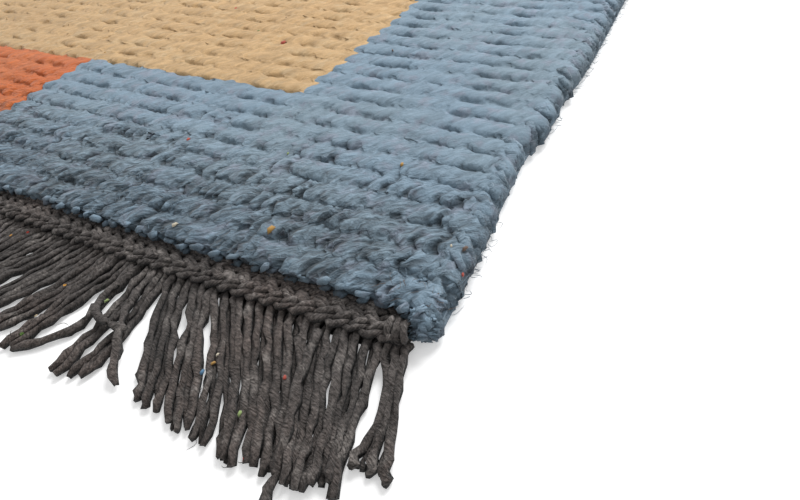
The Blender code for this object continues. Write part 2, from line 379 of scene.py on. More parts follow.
COLOURS = {
    # linear red, green, blue
    "wool_blue": (0.211, 0.301, 0.383),
    "wool_beige": (0.560, 0.366, 0.178),
    "wool_coral": (0.585, 0.143, 0.034),
    "wool_charcoal": (0.093, 0.082, 0.077),
}
CASTS = {
    # the two other tints that each wool drifts to
    "wool_blue": ((0.219, 0.294, 0.347), (0.247, 0.282, 0.356)),
    "wool_beige": ((0.535, 0.340, 0.160), (0.585, 0.418, 0.232)),
    "wool_coral": ((0.565, 0.168, 0.052), (0.620, 0.148, 0.036)),
    "wool_charcoal": ((0.145, 0.112, 0.098), (0.260, 0.236, 0.220)),
}
FLECK_COLOURS = (
    # from this share on, linear red, green, blue
    (0.00, (0.50, 0.06, 0.04)),
    (0.30, (0.75, 0.62, 0.42)),
    (0.60, (0.62, 0.30, 0.05)),
    (0.75, (0.08, 0.22, 0.50)),
    (0.88, (0.22, 0.40, 0.10)),
)

# How fine the patterns in the wool are, in cells per metre, and the clumps in cells along the streaks
PATCHES = 11.0
SWIRLS = 34.0
TINTS = 95.0
MOTTLES = 620.0
KNOT_BACKS = 700.0
TUFTS = 800.0
CLUMPS = 0.42

# The shade under a yarn: how much there is at its sides, and how much its top and underside change that
SIDE_SHADE = 0.76
SHADE_BY_RISE = 0.88

rng = np.random.default_rng(PILE_SEED)


# Small helpers for arrays

def smoothed(value):
    """An even start and stop between 0 and 1."""
    value = np.clip(value, 0.0, 1.0)
    return value * value * (3.0 - 2.0 * value)


def unit(vectors):
    return vectors / np.maximum(np.linalg.norm(vectors, axis=-1, keepdims=True), 1e-9)


def slow_noise(where, wave_length, seed):
    """Smooth wandering between about -1 and 1 for an array of distances."""
    draw = np.random.default_rng(seed)
    total = np.zeros_like(where, dtype=float)
    for share in (1.0, 0.55, 0.3):
        stretch = wave_length * share * draw.uniform(0.8, 1.2)
        total = total + share * np.sin(2.0 * np.pi * where / stretch + draw.uniform(0.0, 2.0 * np.pi))
    return total / 1.5


def slow_wave(x, beside, wave):
    """Slow wandering along the rows, shifted by so much for each step beside them."""
    step, wave_length, seed = wave
    return slow_noise(x + step * beside, wave_length, seed)


def faded(distance, whole_to, gone_at):
    """1 up to one distance, and from there evenly down to 0 at another."""
    return 1.0 - smoothed((distance - whole_to) / (gone_at - whole_to))


def between(low, high, share):
    return low + (high - low) * share


def end_wave(s, end):
    return np.interp(s, END_WAVE[:, 0], END_WAVE[:, 1 if end == "near" else 2])


def end_inset(s, z, end):
    """How far in from the nominal end line the pile's end wall stands."""
    wall = END_INSET - end_wave(s, end) - END_OVERHANG * z / PILE_TOP
    from_side = np.minimum(s, RUG_WIDTH - s)
    inner = smoothed((from_side - CORNER_FROM) / (CORNER_TO - CORNER_FROM))
    return CORNER_INSET + (wall - CORNER_INSET) * inner


def pile_y(along, x, z):
    """The place along the rug of a point of the pile, whose rows are squeezed between its end walls."""
    s_near = RUG_WIDTH / 2 - x
    first = end_inset(s_near, z, "near")
    last = end_inset(RUG_WIDTH - s_near, z, "far")
    return -PILE_LENGTH / 2 + first + along / PILE_LENGTH * (PILE_LENGTH - first - last)


def half_width(along, side):
    pull = np.interp(along, SIDE_WAVE[:, 0], SIDE_WAVE[:, 1 if side == "right" else 2])
    return RUG_WIDTH / 2 - pull


def edge_drawn(along, side):
    own = along if side == "right" else PILE_LENGTH - along
    return np.interp(own, EDGE_DRAWN[:, 0], EDGE_DRAWN[:, 1])


def end_points(s, out, z, end):
    """Points of one end, turned half round for the far end."""
    turn = 1.0 if end == "near" else -1.0
    return np.stack((turn * (RUG_WIDTH / 2 - s), turn * (-PILE_LENGTH / 2 - out), z), axis=-1)


def through(points, shares):
    """A smooth path through a few points, at these shares of its way."""
    points = np.asarray(points, dtype=float)
    padded = np.vstack((2 * points[0] - points[1], points, 2 * points[-1] - points[-2]))
    place = np.asarray(shares) * (len(points) - 1.000001)
    start = place.astype(int)
    t = (place - start)[:, None]
    before, here, after, beyond = (padded[start + shift] for shift in range(4))
    return 0.5 * (
        2 * here
        + (after - before) * t
        + (2 * before - 5 * here + 4 * after - beyond) * t ** 2
        + (3 * here - before - 3 * after + beyond) * t ** 3
    )


# Yarns: one ball drawn out along many paths

class Ball:
    """A ball's points by the level they stand on and their turn round it, with its faces as arrays."""

    def __init__(self, sides, rings):
        bm = bmesh.new()
        bmesh.ops.create_uvsphere(bm, u_segments=sides, v_segments=rings + 1, radius=1.0)
        bm.verts.ensure_lookup_table()
        points = np.array([vert.co[:] for vert in bm.verts])
        steps = rings + 1
        self.levels = rings + 2
        self.level = np.rint((1.0 - np.arccos(np.clip(points[:, 2], -1, 1)) / np.pi) * steps).astype(int)
        self.turn = np.arctan2(points[:, 1], points[:, 0])
        corners = []
        around = []
        starts = []
        for face in bm.faces:
            starts.append(len(corners))
            turns = [self.turn[vert.index] / (2 * np.pi) % 1.0 for vert in face.verts]
            open_ends = [self.level[vert.index] in (0, steps) for vert in face.verts]
            ringed = [turn for turn, is_pole in zip(turns, open_ends) if not is_pole]
            wraps = max(ringed) - min(ringed) > 0.5
            ringed = [turn + 1.0 if wraps and turn < 0.5 else turn for turn in ringed]
            middle = sum(ringed) / len(ringed)
            for vert, turn, is_pole in zip(face.verts, turns, open_ends):
                corners.append(vert.index)
                around.append(middle if is_pole else turn + (1.0 if wraps and turn < 0.5 else 0.0))
        self.corners = np.array(corners)
        self.around = np.array(around)
        self.starts = np.array(starts)
        bm.free()


def drawn_out(ball, centres, wide, thick, side, lobe=0.0, twist=None, crumple=0.0):
    """The points of all the copies: centres has a path for each, side the way its width runs."""
    along = unit(np.gradient(centres, axis=1))
    across = np.broadcast_to(np.asarray(side, dtype=float), centres.shape)
    across = unit(across - along * np.sum(across * along, axis=-1, keepdims=True))
    up = np.cross(along, across)
    level = ball.level
    turn = np.broadcast_to(ball.turn, (len(centres), len(level)))
    swell = np.ones_like(turn)
    if lobe:
        swell = 1.0 - lobe + lobe * np.cos(2.0 * (turn - twist[:, level]))
    right = (wide[:, level] * np.cos(turn) * swell)[..., None]
    high = (thick[:, level] * np.sin(turn) * swell)[..., None]
    points = centres[:, level] + across[:, level] * right + up[:, level] * high
    if crumple:
        inside = (wide[:, level] > 0.0)[..., None]
        points = points + rng.normal(0.0, crumple, points.shape) * inside
    return points


def closed(levels):
    """The thickness of an even yarn by level, which closes to a point at both ends."""
    body = np.ones(levels)
    body[[0, -1]] = 0.0
    return body


def lengths_along(paths):
    """The length of each path up to each of its points."""
    steps = np.linalg.norm(np.diff(paths, axis=1), axis=2)
    return np.pad(np.cumsum(steps, axis=1), ((0, 0), (1, 0)))


def yarn_lot(ball, yarns, side, crumple=0.0, floor=0.0, **plies):
    """A lot of yarns for a piece, drawn out along their paths and kept over the floor."""
    centres, wide, thick, shade = yarns
    points = drawn_out(ball, centres, wide, thick, side, crumple=crumple, **plies)
    points[:, :, 2] = np.maximum(points[:, :, 2], floor)
    return ball, points, centres, shade


def new_piece(name, mesh, material):
    mesh.materials.append(material)
    piece = bpy.data.objects.new(name, mesh)
    bpy.context.scene.collection.objects.link(piece)
    return piece


def mark_points(mesh, label, values):
    """Gives each point of a mesh a number that its material reads."""
    attribute = mesh.attributes.new(label, "FLOAT", "POINT")
    attribute.data.foreach_set("value", values.astype(np.float32))


def yarn_piece(name, lots, material, under=0.0):
    """One mesh from several lots of yarns, each a ball with its points, its paths and its shades. The yarns'
    sides and undersides get painted shade by this much."""
    points, corners, starts, maps, shades, painted_shades = ([] for _ in range(6))
    for ball, placed, centres, shade in lots:
        copies, count = placed.shape[:2]
        number = np.arange(copies)[:, None]
        first_point = sum(len(lot) for lot in points)
        first_corner = sum(len(lot) for lot in corners)
        points.append(placed.reshape(-1, 3))
        corners.append((ball.corners + first_point + number * count).ravel())
        starts.append((ball.starts + first_corner + number * len(ball.corners)).ravel())
        along = lengths_along(centres)[:, ball.level[ball.corners]] / CM
        around = np.broadcast_to(ball.around, along.shape)
        maps.append(np.stack((around, along), axis=-1).reshape(-1, 2))
        shades.append(np.repeat(shade, count))
        # Painted shade on each yarn's sides and underside, by how far its surface faces down
        rise = unit(placed - centres[:, ball.level])[..., 2]
        painted_shades.append(under * np.clip(SIDE_SHADE - SHADE_BY_RISE * rise, 0.0, 1.0).ravel())
    points, corners, starts, maps, shades, painted_shades = (
        np.concatenate(found) for found in (points, corners, starts, maps, shades, painted_shades)
    )
    mesh = bpy.data.meshes.new(name)
    mesh.vertices.add(len(points))
    mesh.vertices.foreach_set("co", points.astype(np.float32).ravel())
    mesh.loops.add(len(corners))
    mesh.loops.foreach_set("vertex_index", corners.astype(np.int32))
    mesh.polygons.add(len(starts))
    mesh.polygons.foreach_set("loop_start", starts.astype(np.int32))
    mesh.update(calc_edges=True)
    uv = mesh.uv_layers.new(name="yarn")
    uv.data.foreach_set("uv", maps.astype(np.float32).ravel())
    mark_points(mesh, "tone", shades)
    mark_points(mesh, "painted_shade", painted_shades)
    mesh.shade_smooth()
    return new_piece(name, mesh, material)


# Materials

def new_material(name, **settings):
    """A material, its node tree and its shader's sockets, with these settings on the sockets."""
    material = bpy.data.materials.new(name)
    material.use_nodes = True
    shader = material.node_tree.nodes["Principled BSDF"].inputs
    for label, value in settings.items():
        shader[label.replace("_", " ")].default_value = value
    return material, material.node_tree, shader


def feed(tree, socket, value):
    if isinstance(value, bpy.types.NodeSocket):
        tree.links.new(value, socket)
    else:
        socket.default_value = value


def worked(tree, operation, *values):
    node = tree.nodes.new("ShaderNodeMath")
    node.operation = operation
    for socket, value in zip(node.inputs, values):
        feed(tree, socket, value)
    return node.outputs[0]


def vector_worked(tree, operation, *values):
    node = tree.nodes.new("ShaderNodeVectorMath")
    node.operation = operation
    for socket, value in zip(node.inputs, values):
        feed(tree, socket, value)
    return node.outputs[0]


def ranged(tree, value, low, high, to_low, to_high):
    node = tree.nodes.new("ShaderNodeMapRange")
    node.interpolation_type = "SMOOTHSTEP"
    for label, given in (("Value", value), ("From Min", low), ("From Max", high),
                         ("To Min", to_low), ("To Max", to_high)):
        feed(tree, node.inputs[label], given)
    return node.outputs["Result"]


def mixed(tree, factor, first, second, blend="MIX"):
    node = tree.nodes.new("ShaderNodeMix")
    node.data_type = "RGBA"
    node.blend_type = blend
    feed(tree, node.inputs[0], factor)
    feed(tree, node.inputs[6], first)
    feed(tree, node.inputs[7], second)
    return node.outputs[2]


def shaded(tree, colour, shade):
    """A colour made darker by a shade."""
    grey = tree.nodes.new("ShaderNodeCombineColor")
    for socket in grey.inputs:
        tree.links.new(shade, socket)
    return mixed(tree, 1.0, colour, grey.outputs[0], "MULTIPLY")


def banded(tree, factor, bands):
    """One plain colour after another, each from its own place on."""
    node = tree.nodes.new("ShaderNodeValToRGB")
    node.color_ramp.interpolation = "CONSTANT"
    stops = node.color_ramp.elements
    for index, (place, colour) in enumerate(bands):
        stop = stops[index] if index < 2 else stops.new(place)
        stop.position = place
        stop.color = (*colour, 1.0)
    tree.links.new(factor, node.inputs[0])
    return node.outputs[0]


def bumped(tree, height, distance, strength):
    node = tree.nodes.new("ShaderNodeBump")
    node.inputs["Distance"].default_value = distance
    feed(tree, node.inputs["Strength"], strength)
    feed(tree, node.inputs["Height"], height)
    return node.outputs["Normal"]


def marked(tree, label):
    """The numbers that mark_points gave a mesh."""
    node = tree.nodes.new("ShaderNodeAttribute")
    node.attribute_name = label
    return node.outputs["Fac"]


def split(tree, place):
    """The X, Y and Z of a place."""
    node = tree.nodes.new("ShaderNodeSeparateXYZ")
    tree.links.new(place, node.inputs[0])
    return node.outputs


def noise(tree, where, scale, detail=2.0):
    """Noise between 0 and 1."""
    node = tree.nodes.new("ShaderNodeTexNoise")
    node.inputs["Scale"].default_value = scale
    node.inputs["Detail"].default_value = detail
    tree.links.new(where, node.inputs["Vector"])
    return node.outputs["Fac"]


def stretched(tree, where, scale, turn=0.0):
    """A place turned about Z by this many degrees, and then squeezed along each axis."""
    mapping = tree.nodes.new("ShaderNodeMapping")
    mapping.vector_type = "TEXTURE"
    mapping.inputs["Scale"].default_value = [1.0 / part for part in scale]
    mapping.inputs["Rotation"].default_value = (0.0, 0.0, math.radians(turn))
    tree.links.new(where, mapping.inputs["Vector"])
    return mapping.outputs["Vector"]


def object_place(tree):
    return tree.nodes.new("ShaderNodeTexCoord").outputs["Object"]


def yarn_place(tree, turns):
    """The place on a yarn: round it, turned with its plies, and along it in centimetres."""
    node = tree.nodes.new("ShaderNodeUVMap")
    node.uv_map = "yarn"
    around, along = split(tree, node.outputs["UV"])[:2]
    joined = tree.nodes.new("ShaderNodeCombineXYZ")
    feed(tree, joined.inputs["X"], worked(tree, "MULTIPLY_ADD", along, turns, around))
    feed(tree, joined.inputs["Y"], along)
    return joined.outputs[0]


def new_group(name, inputs, outputs):
    tree = bpy.data.node_groups.new(name, "ShaderNodeTree")
    for label, kind, value in inputs:
        socket = tree.interface.new_socket(label, in_out="INPUT", socket_type=kind)
        socket.default_value = value
    for label, kind in outputs:
        tree.interface.new_socket(label, in_out="OUTPUT", socket_type=kind)
    return tree, tree.nodes.new("NodeGroupInput").outputs, tree.nodes.new("NodeGroupOutput").inputs


FLOAT = "NodeSocketFloat"
VECTOR = "NodeSocketVector"
COLOUR = "NodeSocketColor"


def heathered_wool_group():
    """Hand-dyed wool: slow patches, a shade for each lock, pale and dark fibres, with painted shade low down,
    in the hollows between clumps and in creases.
    """
    tree, given, out = new_group(
        "heathered_wool",
        (
            ("Place", VECTOR, (0.0, 0.0, 0.0)),
            ("Wool", COLOUR, (0.5, 0.5, 0.5, 1.0)),
            ("Cast", COLOUR, (0.5, 0.5, 0.5, 1.0)),
            ("Other Cast", COLOUR, (0.5, 0.5, 0.5, 1.0)),
            ("Deep", FLOAT, 0.4),
            ("Floor Height", FLOAT, 0.006),
            ("Full Height", FLOAT, 0.017),
            ("Fibres", FLOAT, 0.3),
            ("Crease", FLOAT, 0.0),
            ("Crease Shade", FLOAT, 0.3),
            ("Clumps", FLOAT, 0.0),
            ("Mottle", FLOAT, 0.1),
        ),
        (("Color", COLOUR), ("Roughness", FLOAT)),
    )
    place = object_place(tree)
    height = split(tree, place)["Z"]
    # Painted shade: the lower the wool lies, the darker it is, down to Deep at the Floor Height
    depth = ranged(tree, height, given["Floor Height"], given["Full Height"], given["Deep"], 1.0)
    patches = noise(tree, place, PATCHES, 3.0)
    tints = noise(tree, place, TINTS, 3.0)
    streaks = noise(tree, given["Place"], 1.0, 4.0)
    clumps = noise(tree, given["Place"], CLUMPS)
    colour = mixed(tree, ranged(tree, patches, 0.38, 0.64, 0.0, 0.6), given["Wool"], given["Cast"])
    colour = mixed(tree, ranged(tree, tints, 0.50, 0.72, 0.0, 0.7), colour, given["Other Cast"])
    shade = worked(tree, "MULTIPLY_ADD", marked(tree, "tone"), 0.30, 0.85)
    shade = worked(tree, "MULTIPLY", shade, depth)
    # Pale and dark fibres: partly the wool's own tone, partly painted shade between the fibres
    fibre = worked(tree, "MULTIPLY_ADD", worked(tree, "SUBTRACT", streaks, 0.5), given["Fibres"], 1.0)
    shade = worked(tree, "MULTIPLY", shade, fibre)
    # Painted shade in the hollows between the clumps that the fibre relief raises
    hollow = worked(tree, "MULTIPLY", ranged(tree, clumps, 0.33, 0.48, 1.0, 0.0), given["Clumps"])
    shade = worked(tree, "MULTIPLY", shade, worked(tree, "SUBTRACT", 1.0, hollow))
    mottle = ranged(tree, noise(tree, place, MOTTLES), 0.36, 0.66, -1.0, 1.3)
    shade = worked(tree, "MULTIPLY", shade, worked(tree, "MULTIPLY_ADD", mottle, given["Mottle"], 1.0))
    # Painted shade from the mark that each point carries: in the pile's grooves, slits and open ends, and on
    # the sides and undersides of yarns; the fibre streaks break it up
    broken = worked(tree, "MULTIPLY_ADD", worked(tree, "SUBTRACT", 0.5, streaks), 0.9, given["Crease"])
    shade = worked(tree, "MULTIPLY", shade, ranged(tree, broken, 0.25, 0.90, 1.0, given["Crease Shade"]))
    feed(tree, out["Color"], shaded(tree, colour, shade))
    feed(tree, out["Roughness"], ranged(tree, streaks, 0.2, 0.8, 1.0, 0.82))
    return tree


def fibre_relief_group():
    """The height of loose fibres: streaks along the wool, and smaller tufts on them."""
    tree, given, out = new_group(
        "fibre_relief",
        (
            ("Place", VECTOR, (0.0, 0.0, 0.0)),
            ("Tufts", FLOAT, 0.4),
            ("Clumps", FLOAT, 0.0),
            ("Crease", FLOAT, 0.0),
        ),
        (("Height", FLOAT),),
    )
    streaks = noise(tree, given["Place"], 1.0, 3.0)
    tufts = noise(tree, object_place(tree), TUFTS, 3.0)
    clumps = noise(tree, given["Place"], CLUMPS)
    height = worked(tree, "MULTIPLY_ADD", tufts, given["Tufts"], streaks)
    height = worked(tree, "MULTIPLY_ADD", clumps, given["Clumps"], height)
    sunk = worked(tree, "POWER", given["Crease"], 2.0)
    feed(tree, out["Height"], worked(tree, "SUBTRACT", height, sunk))
    return tree


def stray_fleck_group():
    """Specks of other wools that were carded in, here and there."""
    tree, given, out = new_group(
        "stray_flecks",
        (("Cells", FLOAT, 60.0), ("Share", FLOAT, 0.05), ("Size", FLOAT, 0.10)),
        (("Mask", FLOAT), ("Color", COLOUR)),
    )
    cells = tree.nodes.new("ShaderNodeTexVoronoi")
    tree.links.new(object_place(tree), cells.inputs["Vector"])
    tree.links.new(given["Cells"], cells.inputs["Scale"])
    pick = tree.nodes.new("ShaderNodeSeparateColor")
    tree.links.new(cells.outputs["Color"], pick.inputs[0])
    near = worked(tree, "LESS_THAN", cells.outputs["Distance"], given["Size"])
    chosen = worked(tree, "LESS_THAN", pick.outputs[0], given["Share"])
    feed(tree, out["Mask"], worked(tree, "MULTIPLY", near, chosen))
    feed(tree, out["Color"], banded(tree, pick.outputs[1], FLECK_COLOURS))
    return tree


def placed_group(tree, group, **values):
    node = tree.nodes.new("ShaderNodeGroup")
    node.node_tree = group
    for label, value in values.items():
        feed(tree, node.inputs[label.replace("_", " ")], value)
    return node.outputs


def softened(tree, normal, softness):
    """Turns a normal part way to where the pile stands, as light that enters deep wool comes back evenly."""
    lean = tuple(softness * part for part in PILE_LEAN)
    turned = vector_worked(tree, "MULTIPLY_ADD", normal, (1.0 - softness,) * 3, lean)
    return vector_worked(tree, "NORMALIZE", turned)


def wool_material(
    name, place_on, groups, deep, heights, crease_shade, fibres, sheen, tufts, bump, flecks, softness, clumps,
    mottle,
):
    """One wool. place_on gives the place that its fibre streaks follow."""
    material, tree, shader = new_material(
        name, Sheen_Weight=sheen, Sheen_Roughness=0.6, Specular_IOR_Level=0.15
    )
    heather, relief, stray = groups
    place = place_on(tree)
    wool, cast, other = ((*colour, 1.0) for colour in (COLOURS[name], *CASTS[name]))
    # The painted shade that each point of the mesh carries
    painted_shade = marked(tree, "painted_shade")
    keen = worked(tree, "MULTIPLY_ADD", marked(tree, "calm"), -0.60, 1.0)
    shades = placed_group(
        tree, heather, Place=place, Wool=wool, Cast=cast, Other_Cast=other, Deep=deep,
        Floor_Height=heights[0], Full_Height=heights[1], Fibres=worked(tree, "MULTIPLY", keen, fibres),
        Crease=painted_shade, Crease_Shade=crease_shade, Clumps=worked(tree, "MULTIPLY", keen, clumps[0]),
        Mottle=mottle,
    )
    specks = placed_group(tree, stray, Cells=flecks[0], Share=flecks[1], Size=flecks[2])
    feed(tree, shader["Base Color"], mixed(tree, specks["Mask"], shades["Color"], specks["Color"]))
    feed(tree, shader["Roughness"], shades["Roughness"])
    height = placed_group(tree, relief, Place=place, Tufts=tufts, Clumps=clumps[1], Crease=painted_shade)
    feed(tree, shader["Normal"], softened(tree, bumped(tree, height["Height"], bump, keen), softness))
    return material


def pile_streaks(tree):
    """Fibres lie along the rug and a little across it, and swirl."""
    place = object_place(tree)
    swirl = tree.nodes.new("ShaderNodeTexNoise")
    swirl.inputs["Scale"].default_value = SWIRLS
    tree.links.new(place, swirl.inputs["Vector"])
    moved = vector_worked(tree, "MULTIPLY_ADD", swirl.outputs["Color"], (0.016, 0.016, 0.0), place)
    return stretched(tree, moved, (450.0, 130.0, 320.0), -44.0)


def yarn_streaks(tree):
    return stretched(tree, yarn_place(tree, 0.74), (13.0, 2.6, 1.0))


def wool_materials():
    groups = (heathered_wool_group(), fibre_relief_group(), stray_fleck_group())
    # deep and heights give painted shade low in the pile; crease_shade is the darkest its painted crease
    # shade gets
    pile = dict(deep=0.55, heights=(0.0100, 0.0165), fibres=0.95, sheen=0.20, tufts=0.30, bump=3.2 * MM,
                flecks=(48.0, 0.012, 0.07), softness=0.34, clumps=(0.35, 1.3), mottle=0.04)
    made = {
        name: wool_material(name, pile_streaks, groups, crease_shade=shade, **pile)
        for name, shade in (("wool_blue", 0.27), ("wool_beige", 0.66), ("wool_coral", 0.55))
    }
    # The fringe yarns get painted shade close to the floor
    made["wool_charcoal"] = wool_material(
        "wool_charcoal", yarn_streaks, groups, deep=0.06, heights=(0.0012, 0.0058), crease_shade=0.15,
        fibres=2.3, sheen=0.10, tufts=0.8, bump=1.8 * MM, flecks=(110.0, 0.07, 0.11), softness=0.0,
        clumps=(0.0, 0.0), mottle=0.28,
    )
    return made


def ground_material():
    """The ground between the knots: the same colour blocks, in shade, with the knots' backs below."""
    material, tree, shader = new_material("ground_wool", Sheen_Weight=0.15)
    place = object_place(tree)
    x, y = split(tree, place)[:2]
    from_side = worked(tree, "SUBTRACT", RUG_WIDTH / 2, worked(tree, "ABSOLUTE", x))
    from_end = worked(tree, "SUBTRACT", PILE_LENGTH / 2, worked(tree, "ABSOLUTE", y))
    border = END_INSET + END_BORDER_ROWS * ROW_PITCH
    past_side = worked(tree, "GREATER_THAN", from_side, SIDE_BORDER)
    past_end = worked(tree, "GREATER_THAN", from_end, border)
    beside_block = worked(tree, "GREATER_THAN", from_side, BLOCK_FROM_SIDE)
    in_field = worked(tree, "MULTIPLY", past_side, past_end)
    in_block = worked(tree, "MULTIPLY", beside_block, worked(tree, "LESS_THAN", from_end, border))
    blue, beige, coral = ((*COLOURS["wool_" + colour], 1.0) for colour in ("blue", "beige", "coral"))
    colour = mixed(tree, in_block, mixed(tree, in_field, blue, beige), coral)
    rows = worked(tree, "SINE", worked(tree, "MULTIPLY", y, 2 * math.pi / ROW_PITCH))
    knots = worked(tree, "SINE", worked(tree, "MULTIPLY", x, 2 * math.pi * KNOTS_IN_ROW / RUG_WIDTH))
    fuzz = noise(tree, place, KNOT_BACKS, 4.0)
    relief = worked(tree, "MULTIPLY_ADD", fuzz, 0.6, worked(tree, "MULTIPLY", rows, knots))
    shade = ranged(tree, relief, -1.0, 1.4, 0.42, 0.80)
    feed(tree, shader["Base Color"], shaded(tree, colour, shade))
    feed(tree, shader["Roughness"], ranged(tree, fuzz, 0.2, 0.8, 1.0, 0.85))
    feed(tree, shader["Normal"], bumped(tree, relief, 1.2 * MM, 0.8))
    return material


# The pile

def chance(shape, low, high):
    """Chance depths for dips, of which most are near the low one."""
    return (low + (high - low) * rng.random(shape) ** DIP_POWER) * MM


def knot_columns():
    """By row and column: the share of the way across, the depth of the dip there, the swelling, the shade."""
    knots = (KNOT_ROWS, KNOTS_IN_ROW)
    slits = (KNOT_ROWS, KNOTS_IN_ROW + 1)
    slit_at = np.arange(KNOTS_IN_ROW + 1) + np.clip(rng.normal(0.0, 0.12, slits), -0.3, 0.3)
    slit_at[:, 0] = 0.0
    slit_at[:, -1] = KNOTS_IN_ROW
    crease_at = (slit_at[:, :-1] + slit_at[:, 1:]) / 2 + rng.normal(0.0, 0.06, knots)
    places = np.empty((KNOT_ROWS, 4 * KNOTS_IN_ROW + 1))
    places[:, 0::4] = slit_at
    places[:, 2::4] = crease_at
    places[:, 1::4] = (slit_at[:, :-1] + crease_at) / 2
    places[:, 3::4] = (crease_at + slit_at[:, 1:]) / 2
    dips = np.zeros(places.shape)
    dips[:, 0::4] = chance(slits, *SLIT_DEPTH)
    dips[:, 2::4] = chance(knots, *CREASE_DEPTH)
    dips[:, (0, -1)] = OUTER_DIP
    swells = rng.normal(*SWELL, places.shape)
    shades = np.clip(rng.normal(0.5, 0.25, places.shape), 0.0, 1.0)
    return places / KNOTS_IN_ROW, dips, swells, shades


def lattice_lines():
    """By line of the lattice: its place in rows from the near end, its height, its row, and the rest of its
    numbers in ROW_FORM, which are 0 on the end walls."""
    forms = len(ROW_FORM)
    row = np.repeat(np.arange(KNOT_ROWS), forms)
    form = np.tile(np.arange(forms), KNOT_ROWS)
    first = np.array(FIRST_LINES)
    last = np.array(LAST_LINES) + (KNOT_ROWS, 0.0)
    around = (len(first), len(last))
    place = np.concatenate((first[:, 0], row + ROW_FORM[form, 0], last[:, 0]))
    place[len(first):len(first) + len(FIRST_ROW_STARTS)] = FIRST_ROW_STARTS
    height = np.concatenate((first[:, 1], ROW_FORM[form, 1], last[:, 1]))
    rest = [np.pad(ROW_FORM[form, column], around)[:, None] for column in range(2, ROW_FORM.shape[1])]
    return place, height, np.pad(row, around, mode="edge"), rest


def row_end_bulge(within):
    """How far the end of a row stands out, by the place within the row."""
    return ROW_END_BULGE * (np.sin(np.pi * np.clip(within, 0.0, 1.0)) - ROW_END_EVEN)


def rolled_edge(side, place, edge):
    """The points down one side edge of the pile, from the floor up, by line."""
    sign = 1.0 if side == "right" else -1.0
    along = place * ROW_PITCH
    outermost = half_width(along, side) - edge_drawn(along, side) + row_end_bulge(place % 1.0)
    past_end = faded(np.minimum(along, PILE_LENGTH - along), *ROLL_PAST_END)
    columns = []
    for inset, share_up in SIDE_ROLL:
        wander = rng.normal(0.0, ROLL_WANDER, len(place))
        x = sign * (outermost - inset + wander - ROLL_IN_AT_END * past_end)
        y = edge[:, 1] - ROLL_BACK_AT_END * past_end * np.sign(edge[:, 1])
        z = np.maximum(edge[:, 2] * share_up, PILE_FLOOR)
        columns.append(np.stack((x, y, z), axis=-1))
    return np.stack(columns, axis=1)


